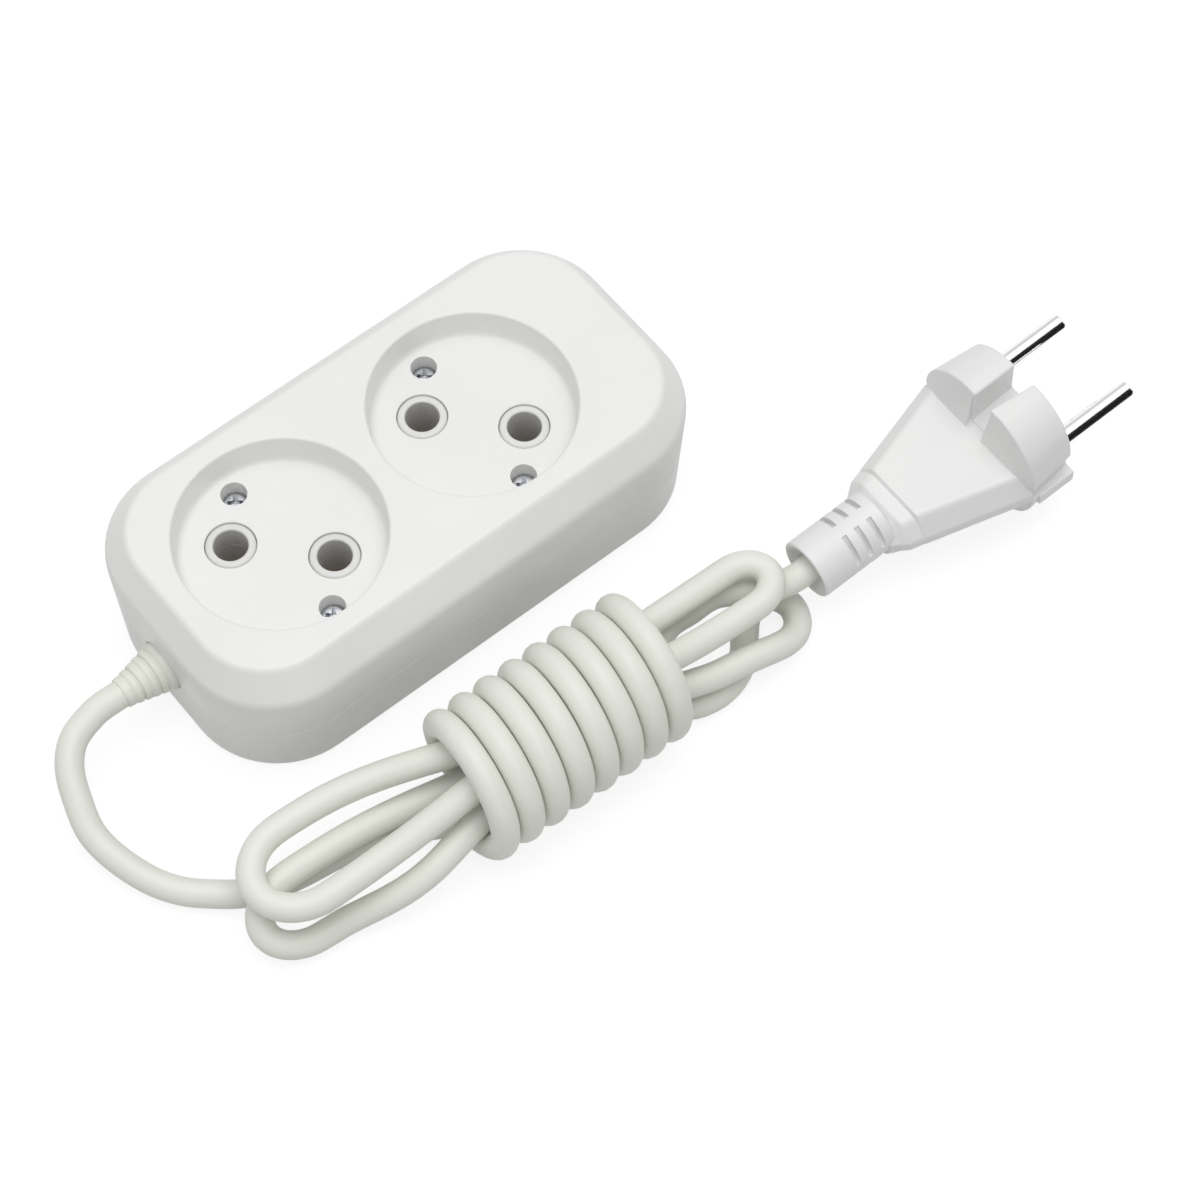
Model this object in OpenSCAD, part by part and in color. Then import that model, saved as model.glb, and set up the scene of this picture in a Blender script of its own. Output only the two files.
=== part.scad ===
/* [Socket body] */
// Length of the body at the lower edge of its bevel
body_l = 109; // [104:0.5:130]
// Width of the body there
body_w = 56.7; // [55:0.1:66]
// Height of the body
body_h = 31.5; // [30:0.5:36]
// Height of the seam between the base and the cover
seam_z = 13.5; // [12.5:0.5:15]
// Corner radius, seen from above
corner_r = 18; // [15:0.5:22]
// Corner radius of the flat top
top_corner_r = 14; // [10:0.5:16]
// How far the bevel round the top comes in at the ends
bevel_end = 4.1; // [2:0.1:5]
// How far the bevel comes in along the sides
bevel_side = 4.8; // [2:0.1:5.2]
// Height of the bevel
bevel_h = 6.4; // [3:0.1:8]
// How much narrower the ends are at the bottom, each
end_draft = 0.6; // [0:0.1:1.5]
// How much narrower the sides are at the bottom, each
side_draft = 1.1; // [0:0.1:1.5]
// Small bevel round the bottom
foot_bevel = 0.9; // [0.4:0.1:1.4]
// Thickness of the walls and of the top
wall = 2.2; // [1.8:0.1:2.6]
// Thickness of the floor of the base
floor_t = 2; // [1.6:0.1:3]
// Height of the lip that centres the cover on the base
lip_h = 1.5; // [1:0.1:2.5]
// Thickness of that lip
lip_t = 0.9; // [0.7:0.1:1.2]

/* [Outlets] */
// Distance from the cord end of the body to the first outlet
outlet_end = 28.1; // [27.5:0.1:32]
// Distance between the two outlets
outlet_pitch = 43.6; // [42:0.1:50]
// Radius of an outlet recess at the top
recess_r = 19.6; // [18:0.1:20.4]
// How much smaller the radius is at the recess floor
recess_draft = 0.6; // [0:0.1:1]
// Depth of the recess
recess_depth = 6.5; // [5:0.1:8]
// Thickness of the recess floor and wall
recess_t = 2; // [1.6:0.1:2.4]
// Distance between the two contacts of an outlet
pin_pitch = 19; // [18.5:0.1:19.5]
// Turn of the contacts about the middle of the outlet
contact_turn = -45; // [-50:1:-40]
// Diameter of an entry hole for a plug pin
entry_d = 6.4; // [5:0.1:7]
// Outer diameter of the collar round an entry hole
collar_d = 9.4; // [9:0.1:11]
// Outer diameter of the tube that holds a contact
holder_d = 8.8; // [8.4:0.1:9.2]
// Distance from the middle of an outlet to its cover screws
screw_y = 15; // [14.6:0.1:15.6]
// Diameter of a cover screw hole
screw_hole_d = 4.9; // [4.6:0.1:5.4]
// Depth of the screw seat below the recess floor
screw_sink = 3.2; // [3:0.1:9]

/* [Contacts] */
// Diameter of the plug pin that a contact takes
pin_d = 4; // [3.8:0.1:4.2]
// Length of the plug pin
pin_l = 19; // [18:0.1:20]
// Wall of a contact sleeve
sleeve_wall = 0.7; // [0.5:0.1:0.8]
// Length of a contact sleeve
sleeve_l = 7; // [6:0.5:12]
// Width of a busbar
busbar_w = 7.6; // [6:0.1:8]
// Thickness of a busbar
busbar_t = 0.8; // [0.6:0.1:1.2]
// Diameter of a terminal screw
terminal_screw_d = 3; // [2.5:0.1:3.2]
// Diameter of its head
terminal_head_d = 4.6; // [4.2:0.1:4.8]

/* [Cord] */
// Diameter of the cord
cord_d = 5; // [4.6:0.1:5.2]
// Diameter of one insulated wire
wire_d = 2.2; // [1.8:0.1:2.3]
// Length of the cord boot outside the body
boot_l = 9.4; // [8:0.1:10]
// Diameter of the cord boot at the body
boot_d = 9.9; // [9:0.1:11]
// Diameter of the cord boot at its end
boot_end_d = 6.2; // [6.2:0.1:8]
// Number of rings on the cord boot
boot_rings = 6; // [3:1:6]
// Free gap between neighbouring strands of the hank
strand_gap = 0.5; // [0.45:0.05:0.6]

/* [Plug] */
// Width of the round face of the plug
face_w = 30.4; // [29:0.1:33]
// Height of the face over its flats
face_h = 30; // [29:0.1:32]
// Thickness of the face
face_t = 10.4; // [9:0.1:12]
// How much smaller each side of the face is at its front
face_draft = 1.5; // [0:0.1:2]
// Width of the grooves in the top and bottom of the face, at its back
groove_w = 4.4; // [4:0.1:6]
// How much wider those grooves are at the front
groove_flare = 0.6; // [0:0.1:1]
// Length of the guide ribs on the sides of the face
guide_l = 8.5; // [6:0.1:10]
// How far they stand out of its sides
guide_out = 0.4; // [0.2:0.1:0.8]
// Height of the grip above the pins
grip_up = 5; // [4.6:0.1:6]
// Height of the grip below the pins
grip_down = 6.3; // [5:0.1:9]
// Width of the top of the grip at the face
grip_w = 24.6; // [22:0.1:25]
// Width of the top of the grip at its end
grip_end_w = 12.6; // [11.5:0.1:14]
// How much wider the grip is half-way down, each side
grip_out = 3; // [1:0.1:3.2]
// Length of the grip behind the face
grip_l = 20.8; // [18:0.1:25]
// Length of the lower neck between the grip and the boot
neck_l = 5.6; // [5:0.1:7]
// Step down from the grip to the neck
neck_drop = 0.7; // [0.3:0.1:1]
// Diameter of the plug boot
plug_boot_d = 12.2; // [11:0.1:12.6]
// Length of the plug boot
plug_boot_l = 15.7; // [14:0.1:17]
// How far the plug leans back as it lies
plug_lean = 4.5; // [0:0.5:6]

/* [Fits] */
// Clearance between pieces that drop into each other
fit_gap = 0.2; // [0.1:0.05:0.3]
// Clearance between a screw, pin or cord and its hole
slip_gap = 0.05; // [0.05:0.01:0.1]

/* [Hidden] */
round_fn = 96;
hull_fn = 32;
skin = 0.01;
past = 1;

// Colours
cover_colour = "#ececea";
base_colour = "#e6e6e4";
carrier_colour = "#d6d7d5";
cord_colour = "#e4e5df";
plug_colour = "#eaeae8";
brass_colour = "#c8a450";
steel_colour = "#b9bcc0";
live_colour = "#7a4a2b";
neutral_colour = "#3d6db5";

// Body, worked out
bevel_z = body_h - bevel_h;
cord_end_x = -body_l / 2;
outlets_x = [for (i = [0, 1]) cord_end_x + outlet_end + i * outlet_pitch];
recess_z = body_h - recess_depth;
carrier_top_z = recess_z - recess_t - fit_gap;
seam_in = end_draft * (1 - seam_z / bevel_z);
end_outside_x = cord_end_x + seam_in;
end_inside_x = end_outside_x + wall;

// Contacts, worked out: the pin tips reach just into the busbars
contact_dx = pin_pitch / 2 * cos(contact_turn);
contact_dy = -pin_pitch / 2 * sin(contact_turn);
busbar_top_z = recess_z - pin_l + 0.3;
busbar_z = busbar_top_z - busbar_t;
sleeve_r = pin_d / 2 + slip_gap;
sleeve_out_r = sleeve_r + sleeve_wall;
holder_r = sleeve_out_r + 0.25;
plate_t = 3.3;
tip_hole_r = pin_d / 2 + 0.3;
sleeve_slot = 1;

// Cover screws, worked out
screw_head_r = screw_hole_d / 2 - fit_gap;
screw_head_h = 2;
screw_ledge_z = recess_z - screw_sink - screw_head_h;
screw_ledge_t = 2;
screw_tube_z = screw_ledge_z - screw_ledge_t;
screw_r = 1.45;
screw_boss_r = screw_hole_d / 2 + 1.35;
screw_foot_z = floor_t + 4;

// Cord entry, worked out: the clamp, the wire ends and the terminals follow each other
boot_flange_r = boot_d / 2 + 1.6;
boot_flange_t = 1.2;
clamp_post_r = 2.4;
clamp_x = end_inside_x + boot_flange_t + clamp_post_r + 0.7;
clamp_l = 4;
clamp_post_y = 6.5;
clamp_screw_r = 1.2;
clamp_head_r = 2.2;
clamp_t = 3;
clamp_z = seam_z + cord_d / 2 - 0.4;
sheath_end_x = clamp_x + clamp_l / 2 + 0.6;
wire_x = clamp_x + clamp_post_r + wire_d / 2 + 0.3;
terminal_x = wire_x + wire_d / 2 + terminal_head_d / 2 + 0.3;
busbar_end_x = terminal_x - terminal_head_d / 2 - 0.6;
lug_t = 1.2;
lug_top_z = busbar_top_z + lug_t;
lug_r = 2.6;
lug_tab_w = 3;
terminal_head_h = 1.8;
terminal_foot_z = floor_t + 0.8;
boot_end_x = end_outside_x - boot_l;

// Plug, worked out in its own frame: +X along the pins, origin in the middle of the face
plug_x = 102.4;
plug_y = -57.9;
plug_turn = -0.7;
plug_z = face_h / 2 * cos(plug_lean) + face_t * sin(plug_lean) + 0.02;
grip_x = -face_t;
grip_end_x = grip_x - grip_l;
neck_end_x = grip_end_x - neck_l;
plug_boot_end_x = neck_end_x - plug_boot_l;
pin_tip_l = 1.2;
pin_root_r = pin_d / 2 - 0.4;
pin_root_l = 7;
bridge_x = -6.5;
bridge_t = 4;
bridge_h = 6;
bridge_w = pin_pitch + 6.4;
crimp_r = 1.5;
crimp_l = 3;
plug_sheath_x = neck_end_x + 4.6;
guide_z = [-5.4, -2.1];
// The grip is widest between these heights
grip_band = [-1.8, 0.5];

// Outline of the plug face, one quarter from the top to the side
face_quarter = [
    [4.2, face_h / 2], [7.6, face_h / 2 - 1.1], [10.4, face_h / 2 - 3.1],
    [12.9, face_h / 2 - 5.8], [face_w / 2 - 0.6, 5.8], [face_w / 2, 2.5]
];
groove_floor = grip_up + 0.3;

/* Shapes that repeat */

// How far the side of the body lies inside its widest outline at height z
function share_up(z) = (z - bevel_z) / bevel_h;
function in_l(z) = z < bevel_z ? end_draft * (1 - z / bevel_z) : bevel_end * share_up(z);
function in_w(z) = z < bevel_z ? side_draft * (1 - z / bevel_z) : bevel_side * share_up(z);
function in_r(z) = z < bevel_z ? 0 : (corner_r - top_corner_r) * share_up(z);

// A thin slice of the body at height z, drawn in by t all round
module slice(z, t = 0) {
    l = body_l - 2 * in_l(z) - 2 * t;
    w = body_w - 2 * in_w(z) - 2 * t;
    r = max(corner_r - in_r(z) - t, 2);
    translate([0, 0, z]) linear_extrude(skin)
        offset(r, $fn = hull_fn) square([l - 2 * r, w - 2 * r], center = true);
}

module at_outlets() {
    for (x = outlets_x) translate([x, 0, 0]) children();
}

module at_cover_screws() {
    at_outlets() for (s = [-1, 1]) translate([0, s * screw_y, 0]) children();
}

// The two contact places of one outlet: live towards -X, neutral towards +X
module at_contacts() {
    for (s = [-1, 1]) translate([s * contact_dx, -s * contact_dy, 0]) children();
}

module at_terminals() {
    for (s = [-1, 1]) translate([terminal_x, s * contact_dy, 0]) children();
}

module at_clamp_screws() {
    for (s = [-1, 1]) translate([clamp_x, s * clamp_post_y, 0]) children();
}

module disc(r, z0, z1) {
    translate([0, 0, z0]) cylinder(r = r, h = z1 - z0, $fn = round_fn);
}

// A bar along X from x0 to x1
module bar(r, x0, x1) {
    translate([x0, 0, 0]) rotate([0, 90, 0]) cylinder(r = r, h = x1 - x0, $fn = round_fn);
}

module block(x0, x1, half_w, z0, z1) {
    translate([x0, -half_w, z0]) cube([x1 - x0, 2 * half_w, z1 - z0]);
}

module drive_slot(r, z) {
    translate([-r - past, -0.4, z]) cube([2 * r + 2 * past, 0.8, past + 1]);
}

/* Swept tubes: rings of points carried along a route without twisting */

function unit(v) = v / norm(v);
function tangent(p, i) = unit(p[min(i + 1, len(p) - 1)] - p[max(i - 1, 0)]);
function square_to(v, t) = unit(v - (v * t) * t);
function side_vectors(p) = [
    for (i = 0, u = square_to([0, 0, 1] + 0.01 * [1, 2, 0], tangent(p, 0)); i < len(p);
        i = i + 1, u = i < len(p) ? square_to(u, tangent(p, i)) : u) u
];

module tube(p, d, sides) {
    n = len(p);
    u = side_vectors(p);
    rings = [
        for (i = [0:n - 1], j = [0:sides - 1])
            let (t = tangent(p, i), a = 360 * j / sides)
            p[i] + d / 2 * (cos(a) * u[i] + sin(a) * cross(t, u[i]))
    ];
    walls = [
        for (i = [0:n - 2], j = [0:sides - 1], k = [0, 1])
            let (a = i * sides + j, b = i * sides + (j + 1) % sides)
            k == 0 ? [a, b, b + sides] : [a, b + sides, a + sides]
    ];
    caps = [
        for (j = [1:sides - 2], k = [0, 1])
            k == 0 ? [0, j + 1, j]
                : [(n - 1) * sides, (n - 1) * sides + j, (n - 1) * sides + j + 1]
    ];
    polyhedron(rings, concat(walls, caps), convexity = 10);
}

// A smooth curve through points, with the given number of steps between each two;
// the first and last stretches stay straight
function curve_point(a, b, c, d, t) =
    (2 * b + (c - a) * t + (2 * a - 5 * b + 4 * c - d) * t * t
        + (3 * b - a - 3 * c + d) * t * t * t) / 2;
function smooth(p, steps) = concat([p[0]], [
    for (i = [1:len(p) - 3], j = [0:steps - 1])
        curve_point(p[i - 1], p[i], p[i + 1], p[i + 2], j / steps)
], [p[len(p) - 2], p[len(p) - 1]]);

/* The hank, in its own frame: u along it, v across it towards the body, w up */

hank_x = -7;
hank_y = -54.5;
hank_turn = -1.65;
function from_hank(p) = [
    hank_x + p[0] * cos(hank_turn) - p[1] * sin(hank_turn),
    hank_y + p[0] * sin(hank_turn) + p[1] * cos(hank_turn),
    p[2]
];
function rows_from_hank(rows) = [for (p = rows) from_hank(p)];

// The strands in the middle lie on a circle, and the wrap goes round them
core_r = 6.1 + (cord_d - 5) * 0.7;
wrap_r = core_r + cord_d + 0.9;
wrap_z = wrap_r + cord_d / 2 + 0.15;
wrap_pitch = cord_d + strand_gap;
core_end = 17;
turn_steps = 24;
run_steps = 9;
bend_steps = 12;
core_steps = 8;
function core_at(u, a) = [u, core_r * cos(a), wrap_z + core_r * sin(a)];

// The wrap runs from angle a0 down to a1
wrap_turns = 8;
wrap_start = 250;
wrap_end = -(wrap_turns - 1) * 360 - 98;
wrap_mid_u = -18.6;
function wrap_at(a) = [
    wrap_mid_u + wrap_pitch * (90 - a) / 360,
    wrap_r * cos(a),
    wrap_z + wrap_r * sin(a)
];
function wrap() =
    let (n = round((wrap_start - wrap_end) * turn_steps / 360))
    [for (i = [0:n - 1]) wrap_at(wrap_start + (wrap_end - wrap_start) * i / n)];

// One run from the core out to a bend: quick at first, then level, with a bow of its own
function run_out(from, to, ease, bow) = [
    for (i = [0:run_steps - 1])
        let (t = i / run_steps, e = 1 - pow(1 - pow(t, ease), 2.6), b = pow(sin(180 * t), 2))
        [
            from[0] + (to[0] - from[0]) * t,
            from[1] + (to[1] - from[1]) * e + bow[0] * b,
            from[2] + (to[2] - from[2]) * e + bow[1] * b
        ]
];

// A loop: out along the far strand, round the bend, back along the near one
function bend(side, reach, depth, far, near) = [
    for (i = [0:bend_steps])
        let (a = 180 * i / bend_steps, s = (1 - cos(a)) / 2)
        [
            side * (reach + depth * sin(a)),
            (far[0] + near[0]) / 2 + (far[0] - near[0]) / 2 * cos(a),
            far[1] + (near[1] - far[1]) * s
        ]
];
function back(rows) = [for (i = [len(rows) - 1:-1:0]) rows[i]];
function loop(side, a_far, a_near, reach, depth, far, near, near_ease = 1.25, near_bow = [0, 0]) =
    concat(
        run_out(core_at(side * core_end, a_far), [side * reach, far[0], far[1]], 1.25, [0, 0]),
        bend(side, reach, depth, far, near),
        back(run_out(core_at(side * core_end, a_near), [side * reach, near[0], near[1]],
            near_ease, near_bow))
    );
// A strand through the core, from the left end to the right one, without its two ends
function through(a0, a1) = [
    for (i = [1:core_steps - 1])
        core_at(core_end * (2 * i / core_steps - 1), a0 + (a1 - a0) * i / core_steps)
];

upper_left_loop = loop(-1, 30, 120, 51, 9.6, [13.9, 13.6], [-2, 13.4]);
lower_left_loop = loop(-1, 300, 210, 53.6, 9, [7.7, 8.3], [-3.6, 3.2], 2, [-2.7, 0.8]);
upper_right_loop = loop(1, 30, 120, 44, 5.9, [6.2, 15.1], [-2.8, 15.1]);
floor_z = cord_d / 2 + 0.15;
hank_start = [
    [-34, 5.4, floor_z], [-29, 3.6, floor_z], [-24.9, 1.5, floor_z], [-22.4, -0.2, floor_z + 0.1]
];
crossed_right_loop = [
    [23.6, -4.8, floor_z], [26.2, -7, floor_z], [29, -7.9, floor_z], [33, -8, floor_z],
    [37, -6.8, floor_z], [40.3, -4.4, floor_z], [43, -1.4, floor_z], [45.5, 1.2, floor_z],
    [48.6, 2.8, floor_z], [51.6, 2.2, floor_z], [53.5, -0.4, floor_z], [53.4, -3.6, floor_z],
    [51.5, -6.3, floor_z + 0.25], [48.5, -7.8, 4.3], [45.2, -8.4, 6.2], [41, -8.3, 7.9],
    [36.5, -7.8, 8.6], [31, -7.2, 9.2], [26, -6.2, 10.2], core_at(core_end + 4, 210)
];
hank_finish = [core_at(core_end, 300), [25.5, 4.2, 9.6], [30.8, 6.3, 8.9], [36, 6.4, 8.55]];
hank_route = rows_from_hank(concat(
    hank_start, wrap(), crossed_right_loop, back(through(120, 210)), back(upper_left_loop),
    through(30, 120), back(upper_right_loop), back(through(300, 390)), lower_left_loop,
    through(210, 300), hank_finish
));

// Least distance from each point of a route to its stretches further along, less the cord
function to_stretch(p, a, b) =
    let (ab = b - a, t = min(max((p - a) * ab / (ab * ab), 0), 1))
    norm(p - a - t * ab);
function least_gap(p, skip) = min([
    for (i = [0:len(p) - 1], j = [0:len(p) - 2])
        if ((j > i + skip || j < i - skip) && norm(p[i] - p[j]) < 12)
            to_stretch(p[i], p[j], p[j + 1])
]) - cord_d;

/* The cord's free stretches: from the boot to the hank, and from the hank to the plug */

lead_points = concat([
    [boot_end_x, 0, seam_z], [boot_end_x - cord_d, 0, seam_z],
    [-75, -1.6, 12.5], [-78.8, -5.2, 10.8], [-81, -10.5, 8.4], [-82.2, -16, 6],
    [-81.3, -22, 4.3], [-78.9, -28.6, 3.1], [-75.8, -33.6, 2.7], [-72, -37.4, 2.65],
    [-67.2, -41.1, 2.65], [-62, -43.2, 2.65], [-56.7, -44.4, 2.65], [-51, -45.2, 2.65]
], rows_from_hank([[-39, 7.2, floor_z], hank_start[0]]));
tail_points = concat(rows_from_hank([
    hank_finish[3], [41.2, 6.5, 8.2], [46, 4, 8.6], [50, 0.9, 9.3], [52.4, -0.4, 10.5]
]), [plug_place([plug_boot_end_x - 1.8, 0, 0]), plug_place([plug_boot_end_x, 0, 0])]);

function plug_place(p) =
    let (
        x1 = p[0] * cos(plug_lean) - p[2] * sin(plug_lean),
        z1 = p[0] * sin(plug_lean) + p[2] * cos(plug_lean)
    )
    [
        plug_x + x1 * cos(plug_turn) - p[1] * sin(plug_turn),
        plug_y + x1 * sin(plug_turn) + p[1] * cos(plug_turn),
        plug_z + z1
    ];
module on_plug() {
    translate([plug_x, plug_y, plug_z]) rotate([0, -plug_lean, plug_turn]) children();
}

/* Socket body */

module boot_hole() {
    translate([0, 0, seam_z]) bar(boot_d / 2 + fit_gap, cord_end_x - past, end_inside_x + past);
}

module top_cover() {
    color(cover_colour) difference() {
        union() {
            difference() {
                hull() { slice(seam_z); slice(bevel_z); slice(body_h - skin); }
                hull() {
                    slice(seam_z - past, wall);
                    slice(bevel_z, wall);
                    slice(body_h - wall, wall * 0.8);
                }
                hull() {
                    slice(seam_z - past, wall - lip_t - fit_gap);
                    slice(seam_z + lip_h + fit_gap, wall - lip_t - fit_gap);
                }
                boot_hole();
            }
            at_outlets() disc(recess_r + recess_t, recess_z - recess_t, body_h - 0.5);
            at_cover_screws() disc(screw_boss_r, screw_tube_z, recess_z - 0.5);
        }
        at_outlets() translate([0, 0, recess_z])
            cylinder(r1 = recess_r - recess_draft, r2 = recess_r + recess_draft * past / recess_depth,
                h = recess_depth + past, $fn = round_fn);
        at_outlets() at_contacts()
            disc(collar_d / 2 + fit_gap, recess_z - recess_t - past, recess_z + past);
        at_cover_screws() disc(screw_hole_d / 2, screw_ledge_z, recess_z + past);
        at_cover_screws() disc(screw_r + fit_gap, screw_tube_z - past, screw_ledge_z + past);
    }
}

module bottom_base() {
    color(base_colour) difference() {
        union() {
            difference() {
                union() {
                    hull() { slice(0, foot_bevel); slice(foot_bevel); slice(seam_z - skin); }
                    hull() {
                        slice(seam_z - past, wall - lip_t);
                        slice(seam_z + lip_h - skin, wall - lip_t);
                    }
                }
                hull() { slice(floor_t, wall); slice(seam_z + lip_h + past, wall); }
                boot_hole();
            }
            at_cover_screws() disc(screw_boss_r, floor_t - 0.5, screw_tube_z);
            at_outlets() at_contacts() disc(busbar_w / 2, floor_t - 0.5, busbar_z);
            at_terminals() disc(busbar_w / 2 - 0.4, floor_t - 0.5, busbar_z);
            at_clamp_screws() disc(clamp_post_r, floor_t - 0.5, clamp_z);
            block(clamp_x - clamp_l / 2, clamp_x + clamp_l / 2, clamp_post_y - clamp_post_r + 0.5,
                floor_t - 0.5, seam_z - 1);
        }
        at_cover_screws() disc(screw_r + slip_gap, screw_foot_z - 0.5, screw_tube_z + past);
        at_terminals() disc(terminal_screw_d / 2 + slip_gap, terminal_foot_z - 0.3, busbar_z + past);
        at_clamp_screws() disc(clamp_screw_r + slip_gap, floor_t + 3, clamp_z + past);
        translate([0, 0, seam_z])
            bar(cord_d / 2 + slip_gap, clamp_x - clamp_l, clamp_x + clamp_l);
    }
}

// The insert of one outlet: two collars, the plate that joins them, and a tube round each contact
module contact_carrier(i) {
    color(carrier_colour) translate([outlets_x[i], 0, 0]) difference() {
        union() {
            hull() at_contacts() translate([0, 0, carrier_top_z - plate_t])
                cylinder(r = collar_d / 2 + 0.8, h = plate_t, $fn = hull_fn);
            at_contacts() disc(collar_d / 2, carrier_top_z - 0.5, recess_z);
            at_contacts() disc(holder_d / 2, busbar_top_z, carrier_top_z - plate_t + 0.5);
        }
        at_contacts() disc(entry_d / 2, carrier_top_z - plate_t, recess_z + past);
        at_contacts() disc(holder_r, busbar_top_z - past, carrier_top_z - plate_t + skin);
    }
}
module contact_carrier_1() { contact_carrier(0); }
module contact_carrier_2() { contact_carrier(1); }

// A strip under both contacts of one pole, from its terminal; side is -1 for live, 1 for neutral
module busbar(side) {
    color(brass_colour) translate([0, -side * contact_dy, 0]) difference() {
        block(busbar_end_x, outlets_x[1] + side * contact_dx + busbar_w / 2, busbar_w / 2,
            busbar_z, busbar_top_z);
        for (x = outlets_x) translate([x + side * contact_dx, 0, 0])
            disc(tip_hole_r, busbar_z - past, busbar_top_z + past);
        translate([terminal_x, 0, 0])
            disc(terminal_screw_d / 2 + slip_gap, busbar_z - past, busbar_top_z + past);
    }
}
module busbar_live() { busbar(-1); }
module busbar_neutral() { busbar(1); }

// A split sleeve that stands on its busbar
module contact_sleeve(i, side) {
    color(brass_colour) translate([outlets_x[i] + side * contact_dx, -side * contact_dy, 0])
        difference() {
            disc(sleeve_out_r, busbar_top_z, busbar_top_z + sleeve_l);
            disc(sleeve_r, busbar_top_z - past, busbar_top_z + sleeve_l + past);
            translate([0, -sleeve_slot / 2, busbar_top_z + 2])
                cube([sleeve_out_r + past, sleeve_slot, sleeve_l]);
        }
}
module contact_sleeve_live_1() { contact_sleeve(0, -1); }
module contact_sleeve_live_2() { contact_sleeve(1, -1); }
module contact_sleeve_neutral_1() { contact_sleeve(0, 1); }
module contact_sleeve_neutral_2() { contact_sleeve(1, 1); }

module cover_screws() {
    color(steel_colour) at_cover_screws() difference() {
        union() {
            disc(screw_head_r, screw_ledge_z, screw_ledge_z + screw_head_h);
            disc(screw_r, screw_foot_z, screw_ledge_z + 0.5);
        }
        for (a = [20, 110]) rotate(a) drive_slot(screw_head_r * 0.6 - past, screw_ledge_z + 1);
    }
}

module terminal_screws() {
    head_z = lug_top_z;
    color(steel_colour) at_terminals() difference() {
        union() {
            disc(terminal_head_d / 2, head_z, head_z + terminal_head_h);
            disc(terminal_screw_d / 2, terminal_foot_z, head_z + 0.5);
        }
        rotate(30) drive_slot(terminal_head_d / 2, head_z + terminal_head_h - 0.8);
    }
}

// Flat lugs under the terminal screws, which the wires come down on
module wire_lugs() {
    color(steel_colour) at_terminals() difference() {
        union() {
            disc(lug_r, busbar_top_z, lug_top_z);
            block(wire_x - terminal_x - wire_d / 2, 0, lug_tab_w / 2,
                busbar_top_z, lug_top_z);
        }
        disc(terminal_screw_d / 2 + slip_gap, busbar_top_z - past, lug_top_z + past);
    }
}

module cord_clamp() {
    color(carrier_colour) difference() {
        block(clamp_x - clamp_l / 2, clamp_x + clamp_l / 2, clamp_post_y + clamp_post_r + 0.6,
            clamp_z, clamp_z + clamp_t);
        translate([0, 0, seam_z])
            bar(cord_d / 2 + slip_gap, clamp_x - clamp_l, clamp_x + clamp_l);
        at_clamp_screws() disc(clamp_screw_r + slip_gap, clamp_z - past, clamp_z + clamp_t + past);
    }
}

module clamp_screws() {
    head_z = clamp_z + clamp_t;
    color(steel_colour) at_clamp_screws() difference() {
        union() {
            disc(clamp_head_r, head_z, head_z + 1.6);
            disc(clamp_screw_r, floor_t + 4, head_z + 0.5);
        }
        rotate(70) drive_slot(clamp_head_r, head_z + 0.9);
    }
}

// Ribbed boot: a neck in the wall, a flange behind it, and rings that get smaller outside
module cord_boot() {
    step = boot_l / boot_rings;
    ring_r = [for (i = [0:boot_rings - 1]) boot_d / 2
        - (boot_d - boot_end_d) / 2 * i / (boot_rings - 1)];
    rings = [for (i = [0:boot_rings - 1], k = [0:3])
        let (r = k < 2 ? ring_r[i] : max(ring_r[i] - 0.9, cord_d / 2 + 0.6))
        [r, (i + (k == 0 ? 0 : k == 3 ? 1 : 0.62)) * step]];
    neck = wall + fit_gap + end_draft * boot_flange_r / bevel_z;
    profile = concat(
        [[cord_d / 2 + slip_gap, boot_l], [cord_d / 2 + slip_gap, -neck - boot_flange_t],
            [boot_flange_r, -neck - boot_flange_t], [boot_flange_r, -neck], [boot_d / 2, -neck]],
        [for (i = [0:len(rings) - 3]) rings[i]],
        [[ring_r[boot_rings - 1], boot_l]]
    );
    color(cord_colour) translate([end_outside_x, 0, seam_z]) rotate([0, -90, 0])
        rotate_extrude($fn = round_fn) polygon(profile);
}

// The sheathed end of the cord, from the boot's end to behind the clamp
module cord_inlet() {
    color(cord_colour) translate([0, 0, seam_z]) bar(cord_d / 2, boot_end_x, sheath_end_x);
}

// One wire, from the sheath down to its lug; side is 1 for live, which lies towards +Y
wire_crest_z = lug_top_z + 3.6;
function wire_points(side) = [
    [sheath_end_x, side * 1.25, seam_z],
    [sheath_end_x + 0.6, side * 1.25, seam_z],
    [sheath_end_x + 1.6, side * 3, (2 * seam_z + wire_crest_z) / 3],
    [wire_x, side * (contact_dy - 1.6), wire_crest_z],
    [wire_x, side * contact_dy, lug_top_z + 2],
    [wire_x, side * contact_dy, lug_top_z]
];
module wire_live() { color(live_colour) tube(wire_points(1), wire_d, 8); }
module wire_neutral() { color(neutral_colour) tube(wire_points(-1), wire_d, 8); }

/* Cord */

module cord_lead() { color(cord_colour) tube(smooth(lead_points, 3), cord_d, 8); }

module cord_hank() {
    echo("least gap of the hank to itself, mm:", least_gap(hank_route, 5));
    color(cord_colour) tube(hank_route, cord_d, 6);
}

module cord_tail() { color(cord_colour) tube(smooth(tail_points, 2), cord_d, 8); }

/* Plug */

// A slice of the face at x without its grooves, smaller by t all round
module face_slice(x, t) {
    top = [for (p = face_quarter) [p[0] * (1 - 2 * t / face_w), p[1] * (1 - 2 * t / face_h)]];
    right = concat(top, [for (p = back(top)) [p[0], -p[1]]]);
    rotate([90, 0, 90]) translate([0, 0, x]) linear_extrude(skin)
        polygon(concat(right, [for (p = back(right)) [-p[0], p[1]]]));
}

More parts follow.
